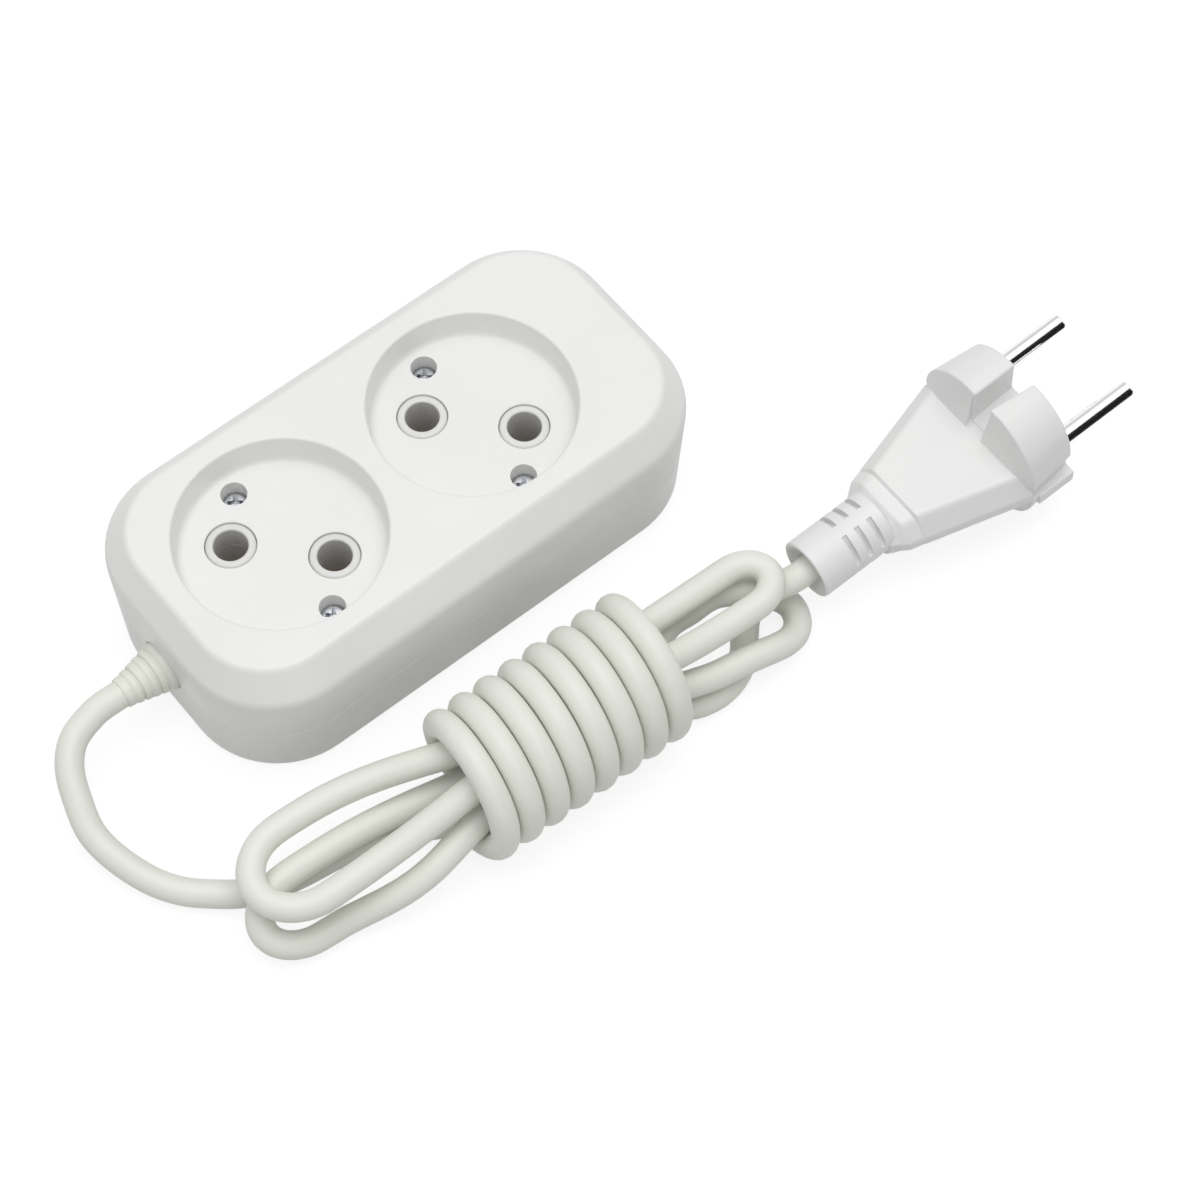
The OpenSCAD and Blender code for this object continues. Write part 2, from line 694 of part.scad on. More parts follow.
// One groove of the face, wider at the front; side is 1 for the top and -1 for the bottom
module face_groove(side) {
    hull() for (end = [[-face_t - past, groove_w], [past, groove_w + groove_flare]])
        translate([end[0], -end[1] / 2, side > 0 ? groove_floor : -face_h])
            cube([skin, end[1], face_h - groove_floor]);
}

module plug_face() {
    difference() {
        hull() { face_slice(-face_t, 0); face_slice(-skin, face_draft); }
        for (side = [-1, 1]) face_groove(side);
    }
    for (side = [-1, 1])
        translate([-guide_l, side > 0 ? face_w / 2 - 2.5 : -face_w / 2 - guide_out, guide_z[0]])
            cube([guide_l, guide_out + 2.5, guide_z[1] - guide_z[0]]);
}

// A slice of the grip at x, wider by out between the heights of its band
module grip_slice(x, half_w, up, down, out) {
    right = [[half_w, up], [half_w + out, grip_band[1]], [half_w + out, grip_band[0]],
        [half_w, -down]];
    rotate([90, 0, 90]) translate([0, 0, x]) linear_extrude(skin)
        polygon(concat(right, [for (p = back(right)) [-p[0], p[1]]]));
}

// The grip and, a step lower, the neck that it narrows to
module plug_grip() {
    half_w = grip_end_w / 2;
    neck_up = grip_up - neck_drop;
    hull() {
        grip_slice(grip_x + 0.2, grip_w / 2, grip_up, grip_down, grip_out - 0.2);
        grip_slice(grip_end_x, half_w, grip_up, grip_down, grip_out);
    }
    hull() {
        grip_slice(grip_end_x + 0.5, half_w - 1.6, neck_up, grip_down - 0.4, grip_out + 1.5);
        grip_slice(grip_end_x - neck_l / 2, half_w - 1.7, neck_up, grip_down - 0.8, grip_out + 0.9);
        grip_slice(neck_end_x, half_w - 2.7, neck_up - 1.2, grip_down - 1.8, grip_out);
    }
}

// A straight wire between two points, or the passage for it, which runs on at both ends
module rod(a, b, r, over = 0) {
    v = b - a;
    translate(a - over * unit(v)) rotate([0, acos(v[2] / norm(v)), atan2(v[1], v[0])])
        cylinder(r = r, h = norm(v) + 2 * over, $fn = 32);
}

plug_wire_from = [-pin_root_l - crimp_l - 0.7, pin_pitch / 2 - 0.9, 0];
plug_wire_to = [plug_sheath_x + 0.6, 1.3, 0];
function mirrored(p, side) = [p[0], side * p[1], p[2]];

module plug_body() {
    color(plug_colour) on_plug() difference() {
        union() {
            plug_face();
            plug_grip();
        }
        for (s = [-1, 1]) translate([0, s * pin_pitch / 2, 0]) {
            bar(pin_root_r + slip_gap, -pin_root_l - fit_gap, past);
            bar(crimp_r + fit_gap, -pin_root_l - crimp_l - fit_gap, -pin_root_l);
        }
        translate([bridge_x - fit_gap, -bridge_w / 2 - fit_gap, -bridge_h / 2 - fit_gap])
            cube([bridge_t + 2 * fit_gap, bridge_w + 2 * fit_gap, bridge_h + 2 * fit_gap]);
        for (s = [-1, 1])
            rod(mirrored(plug_wire_from, s), mirrored(plug_wire_to, s), wire_d / 2 + fit_gap, 0.8);
        bar(cord_d / 2 + slip_gap, neck_end_x - past, plug_sheath_x + 0.1);
    }
}

module plug_boot() {
    color(cord_colour) on_plug() difference() {
        bar(plug_boot_d / 2, plug_boot_end_x, neck_end_x);
        bar(cord_d / 2 + slip_gap, plug_boot_end_x - past, neck_end_x + past);
        translate([plug_boot_end_x - 0.1, 0, 0]) rotate([0, 90, 0])
            cylinder(r1 = plug_boot_d / 2 - 1, r2 = cord_d / 2 + slip_gap - 0.05, h = 2.4, $fn = 64);
        for (i = [0:2], k = [0:3])
            translate([neck_end_x - 2.5 - 2.95 * i, 0, 0]) rotate([45 + 90 * k, 0, 0])
                translate([0, -3.2, plug_boot_d / 2 - 1.3]) cube([1.2, 6.4, 3]);
    }
}

// The plate that holds both pins
module plug_bridge() {
    color(carrier_colour) on_plug() difference() {
        translate([bridge_x, -bridge_w / 2, -bridge_h / 2]) cube([bridge_t, bridge_w, bridge_h]);
        for (s = [-1, 1]) translate([0, s * pin_pitch / 2, 0])
            bar(pin_root_r + slip_gap, bridge_x - past, bridge_x + bridge_t + past);
    }
}

module plug_pin(side) {
    color(steel_colour) on_plug() translate([0, side * pin_pitch / 2, 0]) {
        bar(pin_d / 2, 0, pin_l - pin_tip_l);
        translate([pin_l - pin_tip_l, 0, 0]) rotate([0, 90, 0])
            cylinder(r1 = pin_d / 2, r2 = pin_d / 2 - 0.9, h = pin_tip_l, $fn = round_fn);
        bar(pin_root_r, -pin_root_l, 0.5);
    }
}
module plug_pin_live() { plug_pin(1); }
module plug_pin_neutral() { plug_pin(-1); }

module plug_crimps() {
    color(brass_colour) on_plug() for (s = [-1, 1]) translate([0, s * pin_pitch / 2, 0])
        bar(crimp_r, -pin_root_l - crimp_l, -pin_root_l);
}

module plug_wire(side) {
    on_plug() rod(mirrored(plug_wire_from, side), mirrored(plug_wire_to, side), wire_d / 2);
}
module plug_wire_live() { color(live_colour) plug_wire(1); }
module plug_wire_neutral() { color(neutral_colour) plug_wire(-1); }

module plug_cord_end() {
    color(cord_colour) on_plug() bar(cord_d / 2, plug_boot_end_x, plug_sheath_x);
}

top_cover();
bottom_base();
contact_carrier_1();
contact_carrier_2();
busbar_live();
busbar_neutral();
contact_sleeve_live_1();
contact_sleeve_live_2();
contact_sleeve_neutral_1();
contact_sleeve_neutral_2();
cover_screws();
terminal_screws();
wire_lugs();
cord_clamp();
clamp_screws();
cord_boot();
cord_inlet();
wire_live();
wire_neutral();
cord_lead();
cord_hank();
cord_tail();
plug_body();
plug_boot();
plug_bridge();
plug_pin_live();
plug_pin_neutral();
plug_crimps();
plug_wire_live();
plug_wire_neutral();
plug_cord_end();
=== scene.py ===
import math
import bpy
import bmesh
from mathutils import Matrix, Vector


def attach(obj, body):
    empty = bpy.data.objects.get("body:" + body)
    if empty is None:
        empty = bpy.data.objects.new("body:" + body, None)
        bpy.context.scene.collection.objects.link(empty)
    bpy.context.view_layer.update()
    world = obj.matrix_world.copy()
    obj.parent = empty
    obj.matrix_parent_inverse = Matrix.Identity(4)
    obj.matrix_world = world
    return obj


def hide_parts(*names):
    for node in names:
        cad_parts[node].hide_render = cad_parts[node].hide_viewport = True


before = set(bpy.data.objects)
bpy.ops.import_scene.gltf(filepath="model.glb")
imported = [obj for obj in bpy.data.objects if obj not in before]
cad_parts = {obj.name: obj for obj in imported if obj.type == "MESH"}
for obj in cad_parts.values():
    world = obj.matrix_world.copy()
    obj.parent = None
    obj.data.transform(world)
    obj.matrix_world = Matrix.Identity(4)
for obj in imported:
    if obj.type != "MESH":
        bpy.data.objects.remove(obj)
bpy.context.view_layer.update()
print("frame loaded:", len(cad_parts), "nodes")

# Sizes below are in millimetres; a piece is scaled to metres once, when it is finished
metre = 0.001


# Camera

cameraSetup = {
    "place": (-167.4, -258.5, 541.8),
    "azimuth": -39.86,
    "elevation": 61.58,
    "roll": 1.0,
    "lens": 98.36,
    "sensor": 36.0,
    "clip": (0.01, 20),
}


def makeCamera(setup):
    azimuth, elevation, roll = (math.radians(setup[k]) for k in ("azimuth", "elevation", "roll"))
    back = Vector((math.sin(azimuth) * math.cos(elevation),
                   -math.cos(azimuth) * math.cos(elevation), math.sin(elevation)))
    right = Vector((math.cos(azimuth), math.sin(azimuth), 0))
    up = back.cross(right)
    across = math.cos(roll) * right + math.sin(roll) * up
    upright = -math.sin(roll) * right + math.cos(roll) * up
    data = bpy.data.cameras.new("camera")
    data.lens = setup["lens"]
    data.sensor_width = setup["sensor"]
    data.clip_start, data.clip_end = setup["clip"]
    camera = bpy.data.objects.new("camera", data)
    turn = Matrix((across, upright, back)).transposed().to_4x4()
    camera.matrix_world = Matrix.Translation(Vector(setup["place"]) * metre) @ turn
    bpy.context.scene.collection.objects.link(camera)
    bpy.context.scene.camera = camera


makeCamera(cameraSetup)
print("camera placed")


# Materials

def screenColour(red, green, blue):
    parts = [c / 255 for c in (red, green, blue)]
    return [c / 12.92 if c <= 0.04045 else ((c + 0.055) / 1.055) ** 2.4 for c in parts] + [1]


# What the looks below have in common
surface = {
    "noiseLow": 0.35, "noiseHigh": 0.65, "cloudDetail": 3,
    "rubScale": 2.7, "rubDetail": 4, "smoother": 0.04, "rougher": 0.05, "grainDetail": 2,
    "plasticIor": 1.5, "tarnishScale": 180, "scratchDetail": 3, "scratchGloss": (0.8, 1.3),
}


def newMaterial(name):
    material = bpy.data.materials.new(name)
    material.use_nodes = True
    nodes = material.node_tree.nodes
    return material, nodes, material.node_tree.links, nodes["Principled BSDF"]


def noiseFrom(nodes, links, place, scale, detail):
    noise = nodes.new("ShaderNodeTexNoise")
    noise.inputs["Scale"].default_value = scale
    noise.inputs["Detail"].default_value = detail
    links.new(place, noise.inputs["Vector"])
    return noise.outputs["Fac"]


# Stretches the middle of a noise over the range from low to high
def spread(nodes, links, value, low, high):
    ranged = nodes.new("ShaderNodeMapRange")
    ranged.inputs["From Min"].default_value = surface["noiseLow"]
    ranged.inputs["From Max"].default_value = surface["noiseHigh"]
    ranged.inputs["To Min"].default_value = low
    ranged.inputs["To Max"].default_value = high
    links.new(value, ranged.inputs["Value"])
    return ranged.outputs["Result"]


# Clouds of a look's colour and its shade; the mix node's colour sockets are found by number
def tint(nodes, links, shader, cloud, look):
    factor = spread(nodes, links, cloud, 0, 1)
    mix = nodes.new("ShaderNodeMix")
    mix.data_type = "RGBA"
    mix.inputs[6].default_value = look["colour"]
    mix.inputs[7].default_value = look["shade"]
    links.new(factor, mix.inputs[0])
    links.new(mix.outputs[2], shader.inputs["Base Color"])


def relief(nodes, links, shader, height, depth):
    bump = nodes.new("ShaderNodeBump")
    bump.inputs["Distance"].default_value = depth
    links.new(height, bump.inputs["Height"])
    links.new(bump.outputs["Normal"], shader.inputs["Normal"])


# Moulded plastic: a cloudy tint, uneven gloss, and a fine spark-eroded grain
def mouldedPlastic(name, look):
    material, nodes, links, shader = newMaterial(name)
    place = nodes.new("ShaderNodeTexCoord").outputs["Object"]
    cloud = noiseFrom(nodes, links, place, look["cloudScale"], surface["cloudDetail"])
    tint(nodes, links, shader, cloud, look)
    rub = noiseFrom(nodes, links, place, look["cloudScale"] * surface["rubScale"],
                    surface["rubDetail"])
    links.new(spread(nodes, links, rub, look["roughness"] - surface["smoother"],
                     look["roughness"] + surface["rougher"]), shader.inputs["Roughness"])
    grain = noiseFrom(nodes, links, place, look["grainScale"], surface["grainDetail"])
    relief(nodes, links, shader, grain, look["grainDepth"])
    shader.inputs["IOR"].default_value = surface["plasticIor"]
    return material


# Metal: bright, with faint fine scratches along one axis and a breath of tarnish
def workedMetal(name, look):
    material, nodes, links, shader = newMaterial(name)
    place = nodes.new("ShaderNodeTexCoord").outputs["Object"]
    cloud = noiseFrom(nodes, links, place, surface["tarnishScale"], surface["cloudDetail"])
    tint(nodes, links, shader, cloud, look)
    stretch = nodes.new("ShaderNodeMapping")
    stretch.inputs["Scale"].default_value = look["scratchScale"]
    links.new(place, stretch.inputs["Vector"])
    scratch = noiseFrom(nodes, links, stretch.outputs["Vector"], 1, surface["scratchDetail"])
    low, high = (look["roughness"] * share for share in surface["scratchGloss"])
    links.new(spread(nodes, links, scratch, low, high), shader.inputs["Roughness"])
    relief(nodes, links, shader, scratch, look["scratchDepth"])
    shader.inputs["Metallic"].default_value = 1.0
    return material


shellLook = {"colour": screenColour(237, 237, 235), "shade": screenColour(234, 234, 232),
             "cloudScale": 30, "roughness": 0.42, "grainScale": 5200, "grainDepth": 0.000008}
insertLook = {"colour": screenColour(226, 226, 224), "shade": screenColour(220, 220, 218),
              "cloudScale": 60, "roughness": 0.5, "grainScale": 4200, "grainDepth": 0.00001}
# Painted shade: a darker grey for the deep walls of the contact bores, in place of the shade that
# falls inside them
boreShadeLook = {"colour": screenColour(208, 207, 206), "shade": screenColour(202, 201, 200),
            "cloudScale": 60, "roughness": 0.5, "grainScale": 4200, "grainDepth": 0.00001}
sheathLook = {"colour": screenColour(234, 235, 227), "shade": screenColour(230, 231, 222),
              "cloudScale": 45, "roughness": 0.46, "grainScale": 3600, "grainDepth": 0.000012}
plugLook = {"colour": screenColour(235, 235, 234), "shade": screenColour(232, 232, 232),
            "cloudScale": 45, "roughness": 0.38, "grainScale": 4600, "grainDepth": 0.000008}
plugBootLook = {"colour": screenColour(236, 236, 236), "shade": screenColour(232, 232, 233),
                "cloudScale": 45, "roughness": 0.42, "grainScale": 4200, "grainDepth": 0.00001}
brownWireLook = {"colour": screenColour(122, 74, 43), "shade": screenColour(108, 64, 36),
                 "cloudScale": 90, "roughness": 0.45, "grainScale": 3000, "grainDepth": 0.00001}
blueWireLook = {"colour": screenColour(61, 109, 181), "shade": screenColour(52, 96, 166),
                "cloudScale": 90, "roughness": 0.45, "grainScale": 3000, "grainDepth": 0.00001}
pinLook = {"colour": screenColour(249, 249, 250), "shade": screenColour(245, 245, 247),
           "roughness": 0.1, "scratchScale": (300, 9000, 9000), "scratchDepth": 0.0000015}
screwLook = {"colour": screenColour(214, 216, 220), "shade": screenColour(198, 200, 206),
             "roughness": 0.26, "scratchScale": (2500, 2500, 2500), "scratchDepth": 0.000006}
brassLook = {"colour": screenColour(206, 170, 88), "shade": screenColour(188, 148, 70),
             "roughness": 0.3, "scratchScale": (500, 6000, 6000), "scratchDepth": 0.000004}

shellPlastic = mouldedPlastic("whiteShellPlastic", shellLook)
insertPlastic = mouldedPlastic("socketInsertPlastic", insertLook)
# Painted shade: the darker plastic given to the deep walls of the contact bores
boreShadePlastic = mouldedPlastic("socketBoreShadePlastic", boreShadeLook)
sheathPvc = mouldedPlastic("cordSheathPvc", sheathLook)
plugPvc = mouldedPlastic("plugPvc", plugLook)
plugBootPvc = mouldedPlastic("plugBootPvc", plugBootLook)
brownWire = mouldedPlastic("brownWireInsulation", brownWireLook)
blueWire = mouldedPlastic("blueWireInsulation", blueWireLook)
pinPlating = workedMetal("pinPlating", pinLook)
screwZinc = workedMetal("screwZinc", screwLook)
contactBrass = workedMetal("contactBrass", brassLook)
print("materials made")


# Mesh helpers

roundSides = {"recess": 128, "cup": 96, "collar": 72, "screw": 48, "post": 40, "bootHole": 64,
              "bodyBoot": 96, "plugBoot": 128, "pin": 64}
midShare = 0.3            # how far the middle of an edge rounded in three points is drawn in


def stepTowards(point, target, step):
    way = target - point
    return point + way * (step / way.length)


def softened(corners, cuts, steps=6):
    chain = [Vector(c) for c in corners]
    points = [chain[0]]
    for before, corner, after, cut in zip(chain, chain[1:], chain[2:], cuts):
        if cut == 0:
            points.append(corner)
            continue
        start = stepTowards(corner, before, cut)
        end = stepTowards(corner, after, cut)
        for i in range(steps + 1):
            t = i / steps
            points.append((1 - t) ** 2 * start + 2 * t * (1 - t) * corner + t * t * end)
    return points + [chain[-1]]


# A closed outline with its corners rounded in the same way
def softenedLoop(corners, cuts, steps=5):
    chain = [Vector(c) for c in corners]
    points = []
    for i, (corner, cut) in enumerate(zip(chain, cuts)):
        before, after = chain[i - 1], chain[(i + 1) % len(chain)]
        start = stepTowards(corner, before, cut)
        end = stepTowards(corner, after, cut)
        for k in range(steps + 1):
            t = k / steps
            points.append((1 - t) ** 2 * start + 2 * t * (1 - t) * corner + t * t * end)
    return points


def ring(bm, points):
    return [bm.verts.new(p) for p in points]


def circle(bm, x, y, radius, z, count):
    return ring(bm, [(x + radius * math.cos(a), y + radius * math.sin(a), z)
                     for a in (2 * math.pi * i / count for i in range(count))])


def skin(bm, first, second):
    count = len(first)
    for i in range(count):
        j = (i + 1) % count
        bm.faces.new((first[i], first[j], second[j], second[i]))


# Rings round an upright axis, skinned one to the next; gives back the first and the last
def well(bm, x, y, profile, count):
    rings = [circle(bm, x, y, p[0], p[1], count) for p in profile]
    for first, second in zip(rings, rings[1:]):
        skin(bm, first, second)
    return rings[0], rings[-1]


def flatFill(bm, *loops):
    edges = []
    for loop in loops:
        for a, b in zip(loop, loop[1:] + loop[:1]):
            edges.append(bm.edges.get((a, b)) or bm.edges.new((a, b)))
    bmesh.ops.triangle_fill(bm, use_beauty=True, use_dissolve=False, edges=edges)


def asObject(bm, name):
    bmesh.ops.recalc_face_normals(bm, faces=bm.faces)
    mesh = bpy.data.meshes.new(name)
    bm.to_mesh(mesh)
    bm.free()
    piece = bpy.data.objects.new(name, mesh)
    bpy.context.scene.collection.objects.link(piece)
    return piece


# Joins a tool to a piece, or cuts it away, and leaves a plain mesh
def combined(piece, tool, operation):
    change = piece.modifiers.new("combine", "BOOLEAN")
    change.operation = operation
    change.solver = "MANIFOLD"
    change.object = tool
    bpy.context.view_layer.update()
    evaluated = piece.evaluated_get(bpy.context.evaluated_depsgraph_get())
    mesh = bpy.data.meshes.new_from_object(evaluated)
    piece.modifiers.clear()
    piece.data = mesh
    bpy.data.objects.remove(tool)
    return piece


def finishPiece(piece, material, stands, sharpAngle=38, place=None):
    mesh = piece.data
    if place is not None:
        mesh.transform(place)
    mesh.transform(Matrix.Scale(metre, 4))
    mesh.materials.clear()
    mesh.materials.append(material)
    for face in mesh.polygons:
        face.use_smooth = True
        face.material_index = 0
    mesh.set_sharp_from_angle(angle=math.radians(sharpAngle))
    even = piece.modifiers.new("evenNormals", "WEIGHTED_NORMAL")
    even.keep_sharp = True
    even.weight = 100
    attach(piece, "root")
    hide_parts(*stands)
    print("made", piece.name, len(mesh.polygons), "faces")
    return piece


# The plug's own frame: +X along its pins, origin in the middle of its face

plugPose = {"place": (102.4, -57.9, 15.79), "lean": 4.5, "turn": -0.7}


def plugMatrix(pose):
    return (Matrix.Translation(pose["place"])
            @ Matrix.Rotation(math.radians(pose["turn"]), 4, "Z")
            @ Matrix.Rotation(math.radians(-pose["lean"]), 4, "Y"))


plugPlace = plugMatrix(plugPose)


# Cord: one tube from the body's boot, through the bound hank, to the plug

cordSetup = {
    "diameter": 5.3,
    "bodyExit": (-63.623, 0, 13.5),
    "plugBootEnd": -52.5,
    "inBodyBoot": 1.5,
    "inPlugBoot": 3,
    "beforePlugBoot": 1.8,
    "hankPlace": (-7, -54.5),
    "hankTurn": -1.65,
    "coreRadius": 6.1,
    "wrapRadius": 12.0,
    "wrapHeight": 14.65,
    "wrapPitch": 5.5,
    "wrapMiddle": -18.6,
    "wrapStart": 250,
    "wrapEnd": -2618,
    "wrapSteps": 24,
    "coreEnd": 17,
    "coreSteps": 8,
    "floorHeight": 2.65,
    "runSteps": 9,
    "runEase": 2.6,
    "bendSteps": 12,
}

# Angles are round the core, first on the far strand and then on the near one; far and near are
# where the loop bends round: across and height
hankLoops = {
    "upperLeft": {"side": -1, "angles": (30, 120), "reach": 51, "depth": 9.6,
                  "far": (13.9, 13.6), "near": (-2, 13.4)},
    "lowerLeft": {"side": -1, "angles": (300, 210), "reach": 53.6, "depth": 9,
                  "far": (7.7, 8.3), "near": (-3.6, 3.2), "nearEase": 2, "nearBow": (-2.7, 0.8)},
    "upperRight": {"side": 1, "angles": (30, 120), "reach": 44, "depth": 5.9,
                   "far": (6.2, 15.1), "near": (-2.8, 15.1)},
}


def fromHank(point):
    turn = math.radians(cordSetup["hankTurn"])
    x, y = cordSetup["hankPlace"]
    return Vector((x + point[0] * math.cos(turn) - point[1] * math.sin(turn),
                   y + point[0] * math.sin(turn) + point[1] * math.cos(turn), point[2]))


def coreAt(along, degrees):
    a, r = math.radians(degrees), cordSetup["coreRadius"]
    return [along, r * math.cos(a), cordSetup["wrapHeight"] + r * math.sin(a)]


def wrapTurns():
    start, end, r = cordSetup["wrapStart"], cordSetup["wrapEnd"], cordSetup["wrapRadius"]
    count = round((start - end) * cordSetup["wrapSteps"] / 360)
    rows = []
    for i in range(count):
        degrees = start + (end - start) * i / count
        a = math.radians(degrees)
        rows.append([cordSetup["wrapMiddle"] + cordSetup["wrapPitch"] * (90 - degrees) / 360,
                     r * math.cos(a), cordSetup["wrapHeight"] + r * math.sin(a)])
    return rows


# From the core's end to where a loop bends, with most of the way across near the start
def runOut(start, end, ease, bow):
    rows = []
    for i in range(cordSetup["runSteps"]):
        t = i / cordSetup["runSteps"]
        e = 1 - (1 - t ** ease) ** cordSetup["runEase"]
        b = math.sin(math.pi * t) ** 2
        rows.append([start[0] + (end[0] - start[0]) * t,
                     start[1] + (end[1] - start[1]) * e + bow[0] * b,
                     start[2] + (end[2] - start[2]) * e + bow[1] * b])
    return rows


def bendRound(side, reach, depth, far, near):
    rows = []
    for i in range(cordSetup["bendSteps"] + 1):
        a = math.pi * i / cordSetup["bendSteps"]
        rows.append([side * (reach + depth * math.sin(a)),
                     (far[0] + near[0]) / 2 + (far[0] - near[0]) / 2 * math.cos(a),
                     far[1] + (near[1] - far[1]) * (1 - math.cos(a)) / 2])
    return rows


def hankLoop(side, angles, reach, depth, far, near, farEase=1.25, nearEase=1.25, nearBow=(0, 0)):
    end = cordSetup["coreEnd"]
    away = runOut(coreAt(side * end, angles[0]), [side * reach, *far], farEase, (0, 0))
    home = runOut(coreAt(side * end, angles[1]), [side * reach, *near], nearEase, nearBow)
    return away + bendRound(side, reach, depth, far, near) + home[::-1]


def throughCore(first, last):
    end, steps = cordSetup["coreEnd"], cordSetup["coreSteps"]
    return [coreAt(end * (2 * i / steps - 1), first + (last - first) * i / steps)
            for i in range(1, steps)]


# Points on a smooth curve through the given ones; its first and last stretches stay straight
def smoothRoute(points, steps):
    rows = [Vector(points[0])]
    for a, b, c, d in zip(points, points[1:], points[2:], points[3:]):
        a, b, c, d = Vector(a), Vector(b), Vector(c), Vector(d)
        for j in range(steps):
            t = j / steps
            rows.append((2 * b + (c - a) * t + (2 * a - 5 * b + 4 * c - d) * t * t
                         + (3 * b - a - 3 * c + d) * t ** 3) / 2)
    return rows + [Vector(points[-2]), Vector(points[-1])]


def cordRoute():
    low = cordSetup["floorHeight"]
    start = [[-34, 5.4, low], [-29, 3.6, low], [-24.9, 1.5, low], [-22.4, -0.2, low + 0.1]]
    crossed = [
        [23.6, -4.8, low], [26.2, -7, low], [29, -7.9, low], [33, -8, low], [37, -6.8, low],
        [40.3, -4.4, low], [43, -1.4, low], [45.5, 1.2, low], [48.6, 2.8, low], [51.6, 2.2, low],
        [53.5, -0.4, low], [53.4, -3.6, low], [51.5, -6.3, low + 0.25], [48.5, -7.8, 4.3],
        [45.2, -8.4, 6.2], [41, -8.3, 7.9], [36.5, -7.8, 8.6], [31, -7.2, 9.2], [26, -6.2, 10.2],
        coreAt(cordSetup["coreEnd"] + 4, 210)]
    upperLeft, lowerLeft, upperRight = (hankLoop(**loop) for loop in hankLoops.values())
    leaving = [coreAt(cordSetup["coreEnd"], 300), [25.5, 4.2, 9.6], [30.8, 6.3, 8.9],
               [36, 6.4, 8.55]]
    hank = (start + wrapTurns() + crossed + throughCore(120, 210)[::-1] + upperLeft[::-1]
            + throughCore(30, 120) + upperRight[::-1] + throughCore(300, 390)[::-1] + lowerLeft
            + throughCore(210, 300) + leaving)
    hank = [fromHank(p) for p in hank]
    x, y, z = cordSetup["bodyExit"]
    lead = smoothRoute([
        (x, y, z), (x - 5, y, z), (-75, -1.6, 12.5), (-78.8, -5.2, 10.8), (-81, -10.5, 8.4),
        (-82.2, -16, 6), (-81.3, -22, 4.3), (-78.9, -28.6, 3.1), (-75.8, -33.6, 2.7),
        (-72, -37.4, low), (-67.2, -41.1, low), (-62, -43.2, low), (-56.7, -44.4, low),
        (-51, -45.2, low), fromHank([-39, 7.2, low]), hank[0]], steps=3)
    plugEnd = cordSetup["plugBootEnd"]
    tail = smoothRoute([
        hank[-1], fromHank([41.2, 6.5, 8.2]), fromHank([46, 4, 8.6]), fromHank([50, 0.9, 9.3]),
        fromHank([52.4, -0.4, 10.5]),
        plugPlace @ Vector((plugEnd - cordSetup["beforePlugBoot"], 0, 0)),
        plugPlace @ Vector((plugEnd, 0, 0))], steps=2)
    inBoot = [Vector((x + cordSetup["inBodyBoot"], y, z))]    # a little of it inside each boot
    inPlug = [plugPlace @ Vector((plugEnd + cordSetup["inPlugBoot"], 0, 0))]
    return inBoot + lead[:-1] + hank + tail[1:] + inPlug


def makeCord():
    route = cordRoute()
    curve = bpy.data.curves.new("cord", "CURVE")
    curve.dimensions = "3D"
    curve.bevel_mode = "ROUND"
    curve.bevel_depth = cordSetup["diameter"] / 2 * metre
    curve.bevel_resolution = 6
    curve.resolution_u = 4
    curve.use_fill_caps = True
    spline = curve.splines.new("BEZIER")
    spline.bezier_points.add(len(route) - 1)
    for knot, point in zip(spline.bezier_points, route):
        knot.co = point * metre
        knot.handle_left_type = knot.handle_right_type = "AUTO"
    curve.materials.append(sheathPvc)
    cord = bpy.data.objects.new("cord", curve)
    bpy.context.scene.collection.objects.link(cord)
    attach(cord, "root")
    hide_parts("cord_lead", "cord_hank", "cord_tail")
    length = sum((b - a).length for a, b in zip(route, route[1:]))
    print("cord laid:", len(route), "points,", round(length), "mm")
    return cord


cord = makeCord()


# Socket body

bodySizes = {
    "length": 109, "width": 56.7, "height": 31.5, "seam": 13.5,
    "cornerRadius": 18, "topCornerRadius": 14,
    "bevelEnd": 4.1, "bevelSide": 4.8, "bevelHeight": 6.4,
    "endDraft": 0.6, "sideDraft": 1.1, "footBevel": 0.9,
    "wall": 2.2, "floor": 2, "lipHeight": 1.5, "lipThickness": 0.9, "fitGap": 0.2,
    "shoulderSoftness": 1.8, "edgeSoftness": 1.3, "footSoftness": 0.5,
    "seamChamfer": 0.22, "seamGap": 0.04, "topEdge": 2.2, "footRun": 1.4,
    "lipChamfer": 0.2, "floorFillet": 0.6, "bootHole": 5.15, "bootHoleEnds": (-58, -49.5),
}

outletSizes = {
    "places": (-26.4, 17.2), "recessRadius": 19.6, "recessDraft": 0.6, "recessDepth": 6.5,
    "rimSoftness": 0.55, "cornerSoftness": 1.3, "cupWall": 2,
    "contactOffset": 6.7175, "collarHole": 4.8, "holeSoftness": 0.12,
    "screwOffset": 15, "screwHole": 2.45, "screwSink": 3.2, "screwHeadHeight": 2,
    "screwLedge": 2, "screwBore": 1.65, "screwTube": 3.8,
    "rimRun": 0.7, "floorRun": 0.05, "holeCut": 0.03,
}

# Posts on the base's floor: radius, top, bore radius and foot of the bore. Those for the cover
# screws have their radius and top from the outlets
basePosts = {
    "coverBore": (1.5, 5.5), "sleeve": (3.75, 5.5, 2.3, 4.0),
    "terminal": (3.2, 5.5, 1.55, 2.5), "terminalAt": -40.22,
    "clamp": (2.4, 15.6, 1.25, 5.0), "clampAt": (-47.72, 6.5), "chamfer": 0.2,
}


# Insets from the widest outline, corner radius and height of the body's side at height z
def sideAt(z, inward=0):
    s = bodySizes
    bevelFoot = s["height"] - s["bevelHeight"]
    if z < bevelFoot:
        low = 1 - z / bevelFoot
        atEnd, atSide, corner = s["endDraft"] * low, s["sideDraft"] * low, s["cornerRadius"]
    else:
        share = (z - bevelFoot) / s["bevelHeight"]
        atEnd, atSide = s["bevelEnd"] * share, s["bevelSide"] * share
        corner = s["cornerRadius"] - (s["cornerRadius"] - s["topCornerRadius"]) * share
    return (atEnd + inward, atSide + inward, corner - inward, z)


